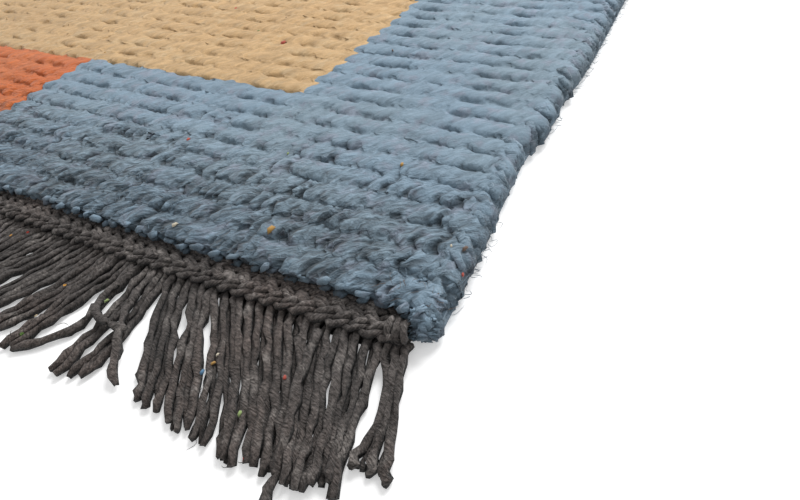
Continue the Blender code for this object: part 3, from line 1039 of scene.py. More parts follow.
def pile_lattice():
    """The points of the whole pile by line and column, with each one's painted shade, random shade and calm.
    """
    place, height, row, (parting, loose, shady, swell_along, swell_up) = lattice_lines()
    share, dips, swells, shades = (values[row] for values in knot_columns())
    rows = row[:, None]
    along = place[:, None] * ROW_PITCH + np.zeros(share.shape)
    from_end = np.minimum(along, PILE_LENGTH - along)
    from_side = RUG_WIDTH * np.minimum(share, 1.0 - share)
    puffed = faded(from_end, *PUFFED)
    opened = faded(from_end, *OPENED)
    calm = 1.0 - opened
    rough = 1.0 - CALMED * calm
    border = faded(from_side, SIDE_BORDER - FIELD_FADE, SIDE_BORDER + FIELD_FADE)
    field = (1.0 - border) * (1.0 - faded(from_end, *NOT_FIELD))
    dips = dips * between(*DIPS_LEFT, opened) * (1.0 - FIELD_CALM * field)

    right = half_width(along, "right") - KNOTS_FROM_SIDE
    left = half_width(along, "left") - KNOTS_FROM_SIDE
    x = right - share * (right + left)
    pull = faded(RUG_WIDTH / 2 - np.abs(x), *EDGE_PULL)
    x = x - pull * np.where(x > 0.0, edge_drawn(along, "right"), -edge_drawn(along, "left"))
    knot_reach = rng.normal(0.0, KNOT_REACH, (KNOT_ROWS, 2 * KNOTS_IN_ROW + 1))
    reach = np.repeat(knot_reach, 2, axis=1)[row, :-1]
    reach = reach + ROW_REACH * slow_wave(x, rows, REACH_WAVE) * (1.0 - 0.4 * puffed)
    reach = np.minimum(reach + REACH_AT_DIP * dips, REACH_MOST)
    drift = PILE_DRIFT + DRIFT_SWING * slow_wave(x, along, DRIFT_WAVE)
    filled = FILLED + FILLED_OPEN * opened + FILLED_PUFFED * puffed
    for amount, wave in zip(FILLED_BY_WAVE, FILL_WAVES):
        filled = filled + amount * slow_wave(x, rows, wave)
    filled = np.clip(filled, 0.0, 1.0) * shady
    swell = (swells + rng.normal(0.0, SWELL_BY_LINE, x.shape)) * rough + LIFT * slow_wave(x, rows, LIFT_WAVE)
    swell = (swell * (1.0 + PUFF * puffed) - dips) * parting

    shift = rng.normal(0.0, SHIFT_ALONG_ROW, x.shape) * (loose > 0.0) * rough
    x = x + drift * (loose - DRIFT_TURNS_AT) + shift
    along = along - reach * ROW_PITCH * loose * (swell_along < 0.0)
    along = along + swell * swell_along + rng.normal(0.0, SHIFT_ACROSS_ROW, x.shape) * loose * rough
    along = np.clip(along, -PAST_END, PILE_LENGTH + PAST_END)
    along = along + FOLD_SWING * slow_wave(x, rows, FOLD_WAVE) * (shady > 0.05)
    from_side = RUG_WIDTH / 2 - np.abs(x)
    rounding = CORNER_ROUND * faded(from_side, *SIDE_ROUNDING) ** 2 * faded(from_end, *END_ROUNDING)
    along = along + rounding * np.where(along < PILE_LENGTH / 2, 1.0, -1.0)
    z = height[:, None] + swell * swell_up + GROOVE_FILL * filled
    z = z + (CALM_FILL * calm + FIELD_FILL * field - GROOVE_SPOTS * dips) * shady
    top = np.stack((x, pile_y(along, x, z), z), axis=-1)

    # Painted shade: in the grooves, darker at the slits, in the slits themselves, over the open pile near the
    # ends, and less of it at the corners
    spots = between(*SPOTS, np.clip(dips / SPOT_DEEP_AT, 0.0, 1.0))
    grooves = (shady - GROOVE_LIT * filled) * between(*GROOVES_LEFT, opened) * spots
    slits = dips / SLIT_DEEP_AT * parting * (SLIT_SHADE + SLIT_IN_GROOVE * shady + SLIT_OPEN * opened)
    painted_shade = np.maximum(np.maximum(grooves, slits) * between(*CREASES_LEFT, opened), OPEN_PAINTED_SHADE * opened)
    painted_shade = painted_shade * (1.0 - CORNER_LIT * faded(np.hypot(from_side, from_end), *CORNER_LIGHT))
    right_edge = rolled_edge("right", place, top[:, 0])
    left_edge = rolled_edge("left", place, top[:, -1])
    points = np.concatenate((right_edge, top, left_edge[:, ::-1]), axis=1)
    margins = ((0, 0), (len(SIDE_ROLL), len(SIDE_ROLL)))
    marks = (np.pad(values, margins, mode="edge") for values in (np.clip(painted_shade, 0.0, 1.0), shades, calm))
    return points, *marks


def pile_block(name, lattice, rows, knots, material):
    """A closed block of the pile over a run of rows and of knots, cut from the lattice."""
    points, painted_shade, shades, calm = lattice
    forms = len(ROW_FORM)
    top = len(FIRST_LINES) + rows[0] * forms if rows[0] else 0
    bottom = len(FIRST_LINES) + rows[1] * forms if rows[1] < KNOT_ROWS else len(points) - 1
    start = len(SIDE_ROLL) + 4 * knots[0] if knots[0] else 0
    stop = len(SIDE_ROLL) + 4 * knots[1] if knots[1] < KNOTS_IN_ROW else points.shape[1] - 1
    lines = bottom - top
    columns = stop - start
    bm = bmesh.new()
    bmesh.ops.create_grid(bm, x_segments=columns, y_segments=lines, size=0.5)
    for face in bm.faces:
        face.smooth = True
    rim = [edge for edge in bm.edges if edge.is_boundary]
    for edge in rim:
        edge.smooth = False
    lowered = bmesh.ops.extrude_edge_only(bm, edges=rim)["geom"]
    foot = [part for part in lowered if isinstance(part, bmesh.types.BMVert)]
    bmesh.ops.translate(bm, verts=foot, vec=(0.0, 0.0, 1.0))
    bmesh.ops.edgeloop_fill(bm, edges=[part for part in lowered if isinstance(part, bmesh.types.BMEdge)])
    bmesh.ops.recalc_face_normals(bm, faces=bm.faces)
    mesh = bpy.data.meshes.new(name)
    bm.to_mesh(mesh)
    bm.free()
    flat = np.empty(3 * len(mesh.vertices), dtype=np.float32)
    mesh.vertices.foreach_get("co", flat)
    flat = flat.reshape(-1, 3)
    column = start + np.rint((flat[:, 0] + 0.5) * columns).astype(int)
    line = top + np.rint((flat[:, 1] + 0.5) * lines).astype(int)
    low = flat[:, 2] > 0.5
    placed = points[line, column]
    ends = points[[top, bottom]][:, :, 1]
    straight = (line - top) / lines
    placed[low, 1] = (ends[0, column] + (ends[1, column] - ends[0, column]) * straight)[low]
    placed[low, 2] = PILE_FLOOR
    mesh.vertices.foreach_set("co", placed.astype(np.float32).ravel())
    for label, values in (("painted_shade", painted_shade), ("tone", shades), ("calm", calm)):
        mark_points(mesh, label, values[line, column])
    mesh.update()
    return new_piece(name, mesh, material)


def end_collars(end):
    """The knots of the outermost row, seen from the end: short loops side by side, one above another."""
    rows = len(COLLAR_LEVELS)
    level = np.repeat(np.arange(rows), COLLARS_IN_ROW)
    index = np.tile(np.arange(COLLARS_IN_ROW), rows)
    count = len(level)
    first = KNOTS_FROM_SIDE + COLLAR_LENGTH / 2
    s = first + index * (RUG_WIDTH - 2 * first) / (COLLARS_IN_ROW - 1) + rng.normal(0.0, 1.3 * MM, count)
    z = np.array(COLLAR_LEVELS)[level] + rng.normal(0.0, 0.8 * MM, count)
    along = COLLAR_FORM[:, 0] * COLLAR_LENGTH
    tilt = rng.normal(COLLAR_TILT, 0.25, count)[:, None]
    s_all = s[:, None] + along * rng.uniform(0.6, 1.05, count)[:, None]
    z_all = z[:, None] + along * tilt
    wall = end_inset(s_all, z_all, end)
    out = COLLAR_OUT - wall + COLLAR_FORM[:, 1] + rng.normal(0.0, 0.9 * MM, count)[:, None]
    thick = COLLAR_FORM[:, 2] * (COLLAR_THICK * rng.uniform(0.65, 1.15, count))[:, None]
    # Their tone is set low: painted shade for the shadow under the pile's overhang
    shade = np.clip(rng.normal(0.1, 0.2, count), -0.3, 0.6)
    yarns = (end_points(s_all, out, z_all, end), thick, thick * 0.95, shade)
    return yarns, np.minimum(s, RUG_WIDTH - s) > BLOCK_FROM_SIDE


def side_curls(side, shape):
    """The yarns at the ends of the rows, which curl over the edge or on down to the floor."""
    sign = 1.0 if side == "right" else -1.0
    row = np.repeat(np.arange(KNOT_ROWS), CURLS_IN_ROW)
    place = np.tile((np.arange(CURLS_IN_ROW) + 0.35) / CURLS_IN_ROW, KNOT_ROWS)
    count = len(row)
    within = place + rng.normal(0.0, 0.07, count)
    along = np.clip((row + within) * ROW_PITCH, CURLS_FROM_END, PILE_LENGTH - CURLS_FROM_END)
    edge = half_width(along, side) - edge_drawn(along, side) + row_end_bulge(within)
    edge = edge + rng.normal(0.0, 0.8 * MM, count)
    slack = rng.normal(0.0, 0.9 * MM, (count, 1)) * CURL_LOOSENESS
    height = shape[:, 1] + rng.normal(0.0, 0.8 * MM, (count, 1)) * CURL_RISE
    lean = rng.normal(-0.6 * MM, 1.8 * MM, (count, 1)) * CURL_LEAN
    x = sign * (edge[:, None] - shape[:, 0] - slack)
    end = PILE_LENGTH / 2 - CURL_INSET
    y = np.clip(pile_y(along[:, None], x, height) + lean, -end, end)
    centres = np.stack((x, y, height), axis=-1)
    scale = rng.uniform(0.80, 1.15, count)[:, None]
    shade = np.clip(rng.normal(0.42, 0.2, count), 0.0, 1.0)
    return centres, shape[:, 2] * scale, shape[:, 3] * scale, shade


def corner_curls(shape):
    """The yarns that fan out round the four corners, in the shape of those along the sides."""
    shape = through(shape, np.linspace(0.0, 1.0, CORNER_LEVELS))
    shape[[0, -1], 2:] = 0.0
    each = len(CORNER_TURNS)
    turn = np.radians(np.tile(np.array(CORNER_TURNS), 4))
    count = len(turn)
    signs = np.repeat(np.array(((1.0, -1.0), (-1.0, -1.0), (1.0, 1.0), (-1.0, 1.0))), each, axis=0)
    turn = (turn + rng.normal(0.0, 0.10, count))[:, None]
    t = np.linspace(0.0, 1.0, CORNER_LEVELS)
    reach = CORNER_RADIUS + rng.normal(0.0, 0.8 * MM, (count, 1)) * t - shape[:, 0]
    height = shape[:, 1] + rng.normal(0.0, 1.1 * MM, (count, 1)) * (1.0 - t ** 2)
    lean = (rng.normal(0.0, 1.8 * MM, (count, 1)) + 0.8 * MM) * t
    corner_x = RUG_WIDTH / 2 - EDGE_DRAWN[0, 1]
    x = corner_x - CORNER_RADIUS + reach * np.cos(turn) - lean * np.sin(turn)
    y = PILE_LENGTH / 2 - CORNER_INSET - CORNER_RADIUS + reach * np.sin(turn) + lean * np.cos(turn)
    centres = np.stack((signs[:, :1] * x, signs[:, 1:] * y, height), axis=-1)
    slim = CORNER_SLIM * rng.uniform(0.8, 1.2, count)[:, None]
    across = np.stack((-signs[:, :1] * np.sin(turn), signs[:, 1:] * np.cos(turn), 0.0 * turn), axis=-1)
    shade = np.clip(rng.normal(0.4, 0.3, count), -0.3, 1.0)
    return (centres, shape[:, 2] * slim, shape[:, 3] * slim, shade), across


def corner_wisps(points):
    """Small loose tufts that lie over the corners of the pile and soften them."""
    draw = np.random.default_rng(WISP_SEED)
    corner = np.array((RUG_WIDTH / 2, PILE_LENGTH / 2))
    away = corner - np.abs(points[:, :2])
    low, wall_top = WISP_HEIGHTS
    chosen = (away.max(axis=1) < WISP_PLACE[0]) & (away.sum(axis=1) < WISP_PLACE[1]) & (points[:, 2] > low)
    wall = chosen & (points[:, 2] < wall_top) & (away.sum(axis=1) < WISP_WALL)
    pool = np.concatenate((points[chosen], points[wall]))
    starts = pool[draw.choice(len(pool), WISPS)]
    ends = np.sign(starts[:, :2])
    lean = np.radians(draw.normal(36.0, 20.0, WISPS))
    out = np.clip((0.016 - starts[:, 2]) / 0.010, 0.0, 1.0)
    way = np.stack((np.cos(lean) * ends[:, 0], np.sin(lean) * -ends[:, 1], 0.10 - 0.5 * out), axis=-1)
    from_side, from_end = (corner - np.abs(starts[:, :2])).T
    way[:, 0] *= 1.0 - 0.8 * out * (from_side < from_end - 0.004)
    way = unit(way)
    t = np.linspace(-0.5, 0.5, len(WISP_BODY))
    length = draw.uniform(5.0, 10.0, (WISPS, 1)) * MM
    bow = draw.uniform(0.4, 1.2, (WISPS, 1)) * MM
    side = draw.normal(0.0, 1.2 * MM, (WISPS, 1))
    centres = starts[:, None] + way[:, None] * (t * length)[..., None]
    centres[:, :, 2] += bow * WISP_LIFT
    reach = RUG_WIDTH / 2 + 0.002
    centres[:, :, 0] = np.clip(centres[:, :, 0] + side * t ** 2, -reach, reach)
    radius = WISP_BODY * draw.uniform(0.5, 1.1, (WISPS, 1)) * MM
    return centres, radius * 1.2, radius * 0.8, np.clip(draw.normal(0.75, 0.65, WISPS), -0.7, 2.0)


def corner_lots(pile_points):
    """The yarns round all four corners, and the tufts that lie on them and on the pile there."""
    ball = Ball(6, CORNER_LEVELS - 2)
    lots = []
    for shape in (UPPER_CURL, LOWER_CURL):
        yarns, across = corner_curls(shape)
        lots.append(yarn_lot(ball, yarns, across, 0.3 * MM))
    under = np.concatenate((pile_points, *(points.reshape(-1, 3) for _, points, _, _ in lots)))
    lots.append(yarn_lot(Ball(4, 4), corner_wisps(under), (0.6, 0.6, 0.0), 0.12 * MM))
    return lots


def build_pile(materials):
    lattice = pile_lattice()
    last = KNOT_ROWS
    wide = KNOTS_IN_ROW
    across = RUG_WIDTH - 2 * KNOTS_FROM_SIDE
    border, block = (round((at - KNOTS_FROM_SIDE) / across * wide) for at in (SIDE_BORDER, BLOCK_FROM_SIDE))
    end = END_BORDER_ROWS
    first_cut, second_cut = FIELD_CUTS
    blocks = {
        "pile_blue_right": ("wool_blue", (0, last), (0, border)),
        "pile_blue_left": ("wool_blue", (0, last), (wide - border, wide)),
        "pile_blue_near_right": ("wool_blue", (0, end), (border, block)),
        "pile_blue_near_left": ("wool_blue", (0, end), (wide - block, wide - border)),
        "pile_blue_far_right": ("wool_blue", (last - end, last), (border, block)),
        "pile_blue_far_left": ("wool_blue", (last - end, last), (wide - block, wide - border)),
        "pile_coral_near": ("wool_coral", (0, end), (block, wide - block)),
        "pile_coral_far": ("wool_coral", (last - end, last), (block, wide - block)),
        "pile_beige_near": ("wool_beige", (end, first_cut), (border, wide - border)),
        "pile_beige_middle": ("wool_beige", (first_cut, second_cut), (border, wide - border)),
        "pile_beige_far": ("wool_beige", (second_cut, last - end), (border, wide - border)),
    }
    pieces = []
    for name, (wool, rows, knots) in blocks.items():
        piece = pile_block(name, lattice, rows, knots, materials[wool])
        pieces.append(piece)
    pile_points = mesh_points(pieces)

    ball = Ball(5, 2)
    for end in ("near", "far"):
        yarns, in_block = end_collars(end)
        _, points, centres, tone = yarn_lot(ball, yarns, (0.0, 1.0, 0.0), CURL_CRUMPLE, 0.3 * MM)
        for wool, these in (("wool_blue", ~in_block), ("wool_coral", in_block)):
            name = "end_knots_" + wool.removeprefix("wool_") + "_" + end
            piece = yarn_piece(name, [(ball, points[these], centres[these], tone[these])], materials[wool])
            pieces.append(piece)
    for side in ("right", "left"):
        lots = [
            yarn_lot(ball, side_curls(side, shape), (0.0, 1.0, 0.0), CURL_CRUMPLE)
            for shape in (UPPER_CURL, LOWER_CURL)
        ]
        if side == "right":
            lots.extend(corner_lots(pile_points))
        piece = yarn_piece("side_curls_" + side, lots, materials["wool_blue"])
        pieces.append(piece)
    return pieces


def build_ground():
    """A thin woven ground under the knots, on the pile's own outline."""
    bm = bmesh.new()
    bmesh.ops.create_grid(bm, x_segments=20, y_segments=60, size=0.5)
    for vert in bm.verts:
        along = (vert.co.y + 0.5) * PILE_LENGTH
        half = half_width(along, "right" if vert.co.x > 0 else "left") - GROUND_INSET
        x = vert.co.x * 2 * half
        inner = 1.0 - 2 * GROUND_INSET / PILE_LENGTH
        middle = PILE_LENGTH / 2 + (along - PILE_LENGTH / 2) * inner
        vert.co = (x, float(pile_y(middle, x, GROUND_LOW)), GROUND_LOW)
    grown = bmesh.ops.extrude_face_region(bm, geom=bm.faces[:], use_keep_orig=True)["geom"]
    lifted = [part for part in grown if isinstance(part, bmesh.types.BMVert)]
    bmesh.ops.translate(bm, verts=lifted, vec=(0.0, 0.0, GROUND_TOP - GROUND_LOW))
    bmesh.ops.recalc_face_normals(bm, faces=bm.faces)
    mesh = bpy.data.meshes.new("ground_weave")
    bm.to_mesh(mesh)
    bm.free()
    piece = new_piece("ground_weave", mesh, ground_material())
    return piece


# The fringe

def bunch_strands(strands, right, left, draw, hidden):
    """Points of each strand of a bunch, between its right edge and its left one: rows of s, out, height.
    Strands that lie under two others are added to hidden."""
    found = []
    tip_gap = abs(left[-1][0] - right[-1][0]) / max(1, strands - 1)
    crowd = max(0.0, 1.0 - tip_gap / (2 * STRAND_RADIUS))
    for index in range(strands):
        share = 0.5 if strands == 1 else index / (strands - 1)
        points = []
        for step, (on_right, on_left) in enumerate(zip(right, left)):
            s = on_right[0] + (on_left[0] - on_right[0]) * share
            out = on_right[1] + (on_left[1] - on_right[1]) * share
            piled = crowd * step / (len(right) - 1) * (index % 2) * PILED_UP * STRAND_RADIUS
            sway = draw.normal(0.0, 0.7 * MM) if 0 < step else 0.0
            points.append([s + sway, out, STRAND_REST + piled])
        points[-1][1] += draw.uniform(-3.5, 1.5) * MM
        found.append(points)
    for above, beside in zip(found[:-1], found[1:]):
        if draw.random() < UNDER_SHARE:
            under = [
                [(one[0] + other[0]) / 2 + draw.normal(0.0, 0.6 * MM), one[1], UNDER_REST]
                for one, other in zip(above, beside)
            ]
            under[-1][1] -= draw.uniform(0.0, 8.0) * MM
            hidden.append(under)
    return found


def chance_bunches(first, last, draw):
    """Bunches by chance between two places along an end, each an edge pair as the table has them."""
    s = first
    lean = draw.uniform(-10.0, 10.0) * MM
    while s < last - STRAND_PITCH:
        strands = int(draw.choice(BUNCH_SIZES))
        strands = min(strands, int((last - s) / STRAND_PITCH))
        width = (strands - 1) * STRAND_PITCH
        lean = 0.62 * lean + draw.normal(0.0, 9.0) * MM
        squeeze = draw.uniform(0.55, 0.98)
        bow = draw.normal(0.0, 3.0) * MM
        reach = FRINGE_REACH - draw.uniform(0.0, 7.0) * MM
        right = []
        left = []
        for out in (*BUNCH_OUTS, reach):
            t = (out - BUNCH_OUTS[0]) / (reach - BUNCH_OUTS[0])
            middle = s + width / 2 + lean * t ** 1.3 + bow * math.sin(math.pi * t)
            half = width / 2 * (1.0 + (squeeze - 1.0) * t)
            right.append((middle - half, out))
            left.append((middle + half, out))
        yield strands, right, left
        s += width + STRAND_PITCH


def kept_apart(strands):
    """Eases the middles and tips of neighbours apart where chance has crossed them."""
    for before, after in zip(strands, strands[1:]):
        for low, high in zip(before[1:], after[1:]):
            room = STRAND_ROOM - (high[0] - low[0])
            if room > 0.0:
                high[0] += room * 0.8
                high[2] += 0.6 * room
    return strands


def strand_lines(end):
    draw = np.random.default_rng(FRINGE_SEEDS[end])
    lines = []
    hidden = []
    first = BAND_FROM_CORNER
    if end == "near":
        for strands, tip_out, right, left in NEAR_BUNCHES:
            outs = (*BUNCH_OUTS, tip_out * MM)
            edges = [[(s * MM, out) for s, out in zip(edge, outs)] for edge in (right, left)]
            lines.extend(bunch_strands(strands, *edges, draw, hidden))
        first = NEAR_BUNCHES_END
    by_chance = []
    for strands, right, left in chance_bunches(first, RUG_WIDTH - BAND_FROM_CORNER, draw):
        by_chance.extend(bunch_strands(strands, right, left, draw, hidden))
    lines.extend(kept_apart(by_chance))
    for lot, lowered in ((lines, 0.0), (hidden, UNDER_LOWERED)):
        for points in lot:
            root, out, _ = points[0]
            wave = float(end_wave(root, end))
            start = [root + 0.4 * MM, -2.0 * MM + wave, 4.4 * MM - lowered]
            points[0:1] = [start, [root, out + wave, 4.9 * MM - lowered]]
    if end == "near":
        lines.extend([[s * MM, out * MM, z * MM] for s, out, z in stray] for stray in NEAR_STRAYS)
    return lines, hidden, draw


def fringe_lot(lines, sides, rings, slim, seed_from, end, draw):
    """The strands along these lines, as one lot for a piece."""
    t = np.concatenate(((0.0,), np.linspace(0.01, 0.985, rings), (0.99,)))
    paths = np.array([through(points, t) for points in lines])
    count = len(paths)
    loose = KINKS * smoothed(t / 0.3)
    for number, path in enumerate(paths):
        for axis, length in KINK_LENGTHS:
            path[:, axis] += loose * slow_noise(path[:, 1], length, seed_from + 2 * number + axis)
    paths[:, :, 2] = np.maximum(paths[:, :, 2], slim * (STRAND_REST - 0.0004))
    centres = end_points(paths[:, :, 0], paths[:, :, 1], paths[:, :, 2], end)
    body = 1.0 - 0.14 * t + 0.14 * smoothed((t - 0.80) / 0.10) - 0.30 * smoothed((t - 0.93) / 0.06)
    body[[0, -1]] = 0.0
    radius = slim * STRAND_RADIUS * body * draw.uniform(0.88, 1.10, count)[:, None]
    radius = radius * (1.0 + 0.08 * draw.normal(0.0, 1.0, radius.shape))
    twist = lengths_along(centres) / STRAND_TWIST * np.pi + draw.uniform(0.0, np.pi, count)[:, None]
    shade = np.clip(draw.normal(0.5, 0.25, count), 0.0, 1.0)
    yarns = (centres, radius, radius * 0.96, shade)
    return yarn_lot(Ball(sides, rings), yarns, (1.0, 0.0, 0.0), STRAND_CRUMPLE, lobe=STRAND_LOBE, twist=twist)


def build_fringe(end, material):
    lines, hidden, draw = strand_lines(end)
    lots = [
        fringe_lot(lines, STRAND_SIDES, STRAND_RINGS, 1.0, STRAND_SEEDS_FROM, end, draw),
        fringe_lot(hidden, UNDER_SIDES, UNDER_RINGS, UNDER_SLIM, UNDER_SEEDS_FROM, end, draw),
    ]
    piece = yarn_piece("fringe_" + end, lots, material, 1.0)
    return piece


def build_band(end, material):
    """The woven strip under the braid, with the twined rows that show along the pile."""
    strip = Ball(4, STRIP_RINGS)
    s = np.linspace(BAND_FROM_CORNER - 0.002, RUG_WIDTH - BAND_FROM_CORNER + 0.002, strip.levels)
    middle = (BAND_INNER + BAND_OUTER) / 2 + end_wave(s, end)
    centres = end_points(s, middle, np.full_like(s, STRIP_HEIGHT), end)[None]
    body = closed(strip.levels)[None]
    yarns = (centres, body * STRIP_WIDE, body * STRIP_THICK, np.array((0.2,)))
    lots = [yarn_lot(strip, yarns, (0.0, 1.0, 0.0))]
    ball = Ball(5, 2)
    stitches = int((RUG_WIDTH - 2 * BAND_FROM_CORNER) / TWINED_PITCH)
    along = np.array((-0.5, -0.26, 0.26, 0.5)) * TWINED_PITCH * TWINED_OVERLAP
    body = closed(ball.levels)
    for number, out in enumerate(TWINED_OUTS):
        s = BAND_FROM_CORNER + (np.arange(stitches) + 0.5 + number / 2) * TWINED_PITCH
        s_all = (s + rng.normal(0.0, 0.35 * MM, stitches))[:, None] + along
        slant = TWINED_SLANT * (1.0 if number else -1.0) * rng.uniform(0.6, 1.3, stitches)
        out_all = out + end_wave(s_all, end) + slant[:, None] * along / along.max()
        z_all = TWINED_HEIGHT + 1.0 * MM * body + rng.normal(0.0, 0.3 * MM, (stitches, 1))
        centres = end_points(s_all, out_all, z_all, end)
        thick = body * (TWINED_YARN * rng.uniform(0.85, 1.12, stitches))[:, None]
        points = drawn_out(ball, centres, thick, thick, (0.0, 1.0, 0.0), crumple=0.15 * MM)
        # The stitches' tone is set high: painted light against the shadow of the pile's overhang
        lots.append((ball, points, centres, np.clip(rng.normal(0.8, 0.4, stitches), 0.0, 1.6)))
    piece = yarn_piece("band_" + end, lots, material, 1.0)
    return piece


def build_braid(end, material):
    """Three strands plaited along the end, and the yarn wrapped round them at each end."""
    ball = Ball(BRAID_SIDES, BRAID_RINGS)
    s = np.linspace(BAND_FROM_CORNER - 0.001, RUG_WIDTH - BAND_FROM_CORNER + 0.001, ball.levels)
    place = s + 1.5 * MM * slow_noise(s, 0.09, BRAID_SEEDS[end])
    from_tip = np.minimum(s - s[0], s[-1] - s)
    gather = 0.35 + 0.65 * smoothed(from_tip / 0.010)
    lines = []
    for strand in range(3):
        phase = 2 * np.pi * (place / BRAID_PERIOD + strand / 3)
        tilt = 0.9 * np.cos(phase)
        middle = BRAID_MIDDLE + end_wave(s, end) + gather * BRAID_SWING * np.sin(phase)
        for side in (-1.0, 1.0):
            beside = side * BRAID_PAIR * (1.0 + 0.15 * slow_noise(s, 0.04, strand + 30))
            z = BRAID_HEIGHT + BRAID_RISE * np.sin(2 * phase) - beside * np.sin(tilt) * 0.6
            lines.append(end_points(s, middle + beside * np.cos(tilt), z, end))
    body = closed(ball.levels)
    body[[1, -2]] = 0.6
    swell = 1.0 + 0.08 * slow_noise(s, 0.05, 19)
    radius = np.tile(BRAID_YARN * body * swell, (len(lines), 1))
    yarns = (np.array(lines), radius, radius, np.linspace(0.7, 1.0, len(lines)))
    lots = [yarn_lot(ball, yarns, (0.0, 1.0, 0.0), 0.22 * MM)]

    wrap = Ball(6, WRAP_RINGS)
    turn = np.linspace(0.0, 2 * np.pi * WRAP_TURNS, wrap.levels)
    swell = 1.0 + 0.12 * slow_noise(turn, 3.1, 63)
    wraps = []
    first = BAND_FROM_CORNER + 0.003
    for at, way, seed in ((first, 1.0, 61), (RUG_WIDTH - first, -1.0, 62)):
        s = at + way * (turn / (2 * np.pi) - 1.5) * WRAP_PITCH + 1.3 * MM * slow_noise(turn, 4.7, seed)
        out = BRAID_MIDDLE - 0.001 + WRAP_WIDE * swell * np.cos(turn)
        wraps.append(end_points(s, out, WRAP_HEIGHT + WRAP_HIGH * swell * np.sin(turn), end))
    radius = np.tile(WRAP_YARN * closed(wrap.levels), (2, 1))
    yarns = (np.array(wraps), radius, radius, np.array((0.4, 0.4)))
    lots.append(yarn_lot(wrap, yarns, (1.0, 0.0, 0.0), 0.2 * MM, 0.0004))
    piece = yarn_piece("plait_" + end, lots, material, 1.0)
    return piece


# Stray tufts and loose fibres

STRAY_COLOURS = (
    # from this tone on, linear red, green, blue
    (0.00, (0.440, 0.085, 0.060)),
    (0.15, (0.470, 0.270, 0.075)),
    (0.30, (0.600, 0.540, 0.420)),
    (0.45, (0.100, 0.220, 0.360)),
    (0.60, (0.300, 0.400, 0.150)),
    (0.75, (0.150, 0.100, 0.075)),
)
RED, OCHRE, CREAM, BLUE, GREEN, BROWN = (0.08, 0.22, 0.38, 0.52, 0.68, 0.82)
PILE_STRAYS = (
    # x, y, tone, size in mm
    (0.3633, -0.7537, RED, 1.5),
    (0.3338, -0.5967, RED, 2.5),
    (0.4824, -0.8144, OCHRE, 2.4),
    (0.4264, -0.8322, CREAM, 1.7),
    (0.5243, -0.7354, OCHRE, 1.4),
    (0.5815, -0.7923, CREAM, 1.0),
    (0.5890, -0.7914, BROWN, 1.6),
    (0.5930, -0.8050, RED, 1.0),
)
FRINGE_STRAYS = (
    # x, y, tone, size in mm
    (0.5002, -0.8996, BLUE, 1.3),
    (0.5402, -0.8873, RED, 1.2),
    (0.5318, -0.9102, GREEN, 1.3),
    (0.4205, -0.8856, GREEN, 1.1),
    (0.5008, -0.8888, CREAM, 1.0),
    (0.5017, -0.8935, OCHRE, 1.1),
)
CHANCE_STRAYS = 60
STRAY_SEED = 41
HAIR_SEED = 43
HAIR_BODY = np.array((0.0, 1.0, 1.0, 0.9, 0.7, 0.0))
SIDE_HAIRS = 1300
END_HAIRS = 700
CORNER_HAIRS = 170
FRINGE_HAIRS = {"near": 600, "far": 500}


def stray_material():
    material, tree, shader = new_material("stray_wool", Roughness=0.95, Sheen_Weight=0.2)
    feed(tree, shader["Base Color"], banded(tree, marked(tree, "tone"), STRAY_COLOURS))
    return material


def resting_on(points, x, y, reach=0.0035):
    """The highest of the points that stand near a place."""
    close = (np.abs(points[:, 0] - x) < reach) & (np.abs(points[:, 1] - y) < reach)
    return float(points[close, 2].max()) if close.any() else 0.0


def mesh_points(pieces):
    found = []
    for piece in pieces:
        flat = np.empty(3 * len(piece.data.vertices), dtype=np.float32)
        piece.data.vertices.foreach_get("co", flat)
        found.append(flat.reshape(-1, 3))
    return np.concatenate(found)


def build_strays(pile_points, fringe_points, material):
    """Small tufts of other wools, where the photograph shows them and here and there."""
    draw = np.random.default_rng(STRAY_SEED)
    places = [(x, y, tone, size, pile_points) for x, y, tone, size in PILE_STRAYS]
    places += [(x, y, tone, size, fringe_points) for x, y, tone, size in FRINGE_STRAYS]
    tones = (RED, OCHRE, CREAM, BLUE, GREEN, BROWN)
    for _ in range(CHANCE_STRAYS):
        x = draw.uniform(-0.57, 0.57)
        y = draw.uniform(-0.80, 0.80)
        places.append((x, y, tones[draw.integers(6)], draw.uniform(0.6, 1.1), pile_points))
    lines = []
    for x, y, _, size, points in places:
        z = resting_on(points, x, y) - 0.3 * MM
        turn = draw.uniform(-0.9, 0.9) + math.pi / 2
        steps = np.array((-1.5, -0.6, 0.6, 1.5)) * size * MM
        bend = np.array((-0.5, 0.2, 0.2, -0.5)) * size * MM
        lines.append(np.stack((x + steps * math.cos(turn), y + steps * math.sin(turn), z + bend), axis=-1))
    sizes = np.array([[size] for _, _, _, size, _ in places])
    radius = np.array((0.0, 0.75, 0.65, 0.0)) * sizes * MM
    shade = np.array([tone for _, _, tone, _, _ in places])
    lot = yarn_lot(Ball(5, 2), (np.array(lines), radius, radius * 0.7, shade), (1.0, 0.3, 0.0), 0.15 * MM)
    return yarn_piece("stray_tufts", [lot], material)


def hairs(starts, outward, lengths, draw):
    """Curling single fibres from these points, off along these ways, as one lot."""
    count = len(starts)
    ball = Ball(3, len(HAIR_BODY) - 2)
    t = np.linspace(0.0, 1.0, ball.levels)
    sideways = unit(draw.normal(0.0, 1.0, (count, 3)))
    curl = draw.uniform(0.15, 0.55, count)
    centres = []
    for start, way, side, length, bend in zip(starts, outward, sideways, lengths, curl):
        swing = np.sin(2.6 * t * (1.0 + bend))[:, None] * side
        wander = bend * length * (swing - 0.6 * t[:, None] ** 2 * side[::-1])
        centres.append(start + way * (t * length)[:, None] + wander)
    centres = np.array(centres)
    centres[:, :, 2] = np.maximum(centres[:, :, 2], 0.4 * MM)
    radius = HAIR_BODY * draw.uniform(0.11, 0.20, count)[:, None] * MM
    shade = draw.uniform(0.76, 1.0, count)
    return yarn_lot(ball, (centres, radius, radius, shade), (0.3, 0.5, 0.8))


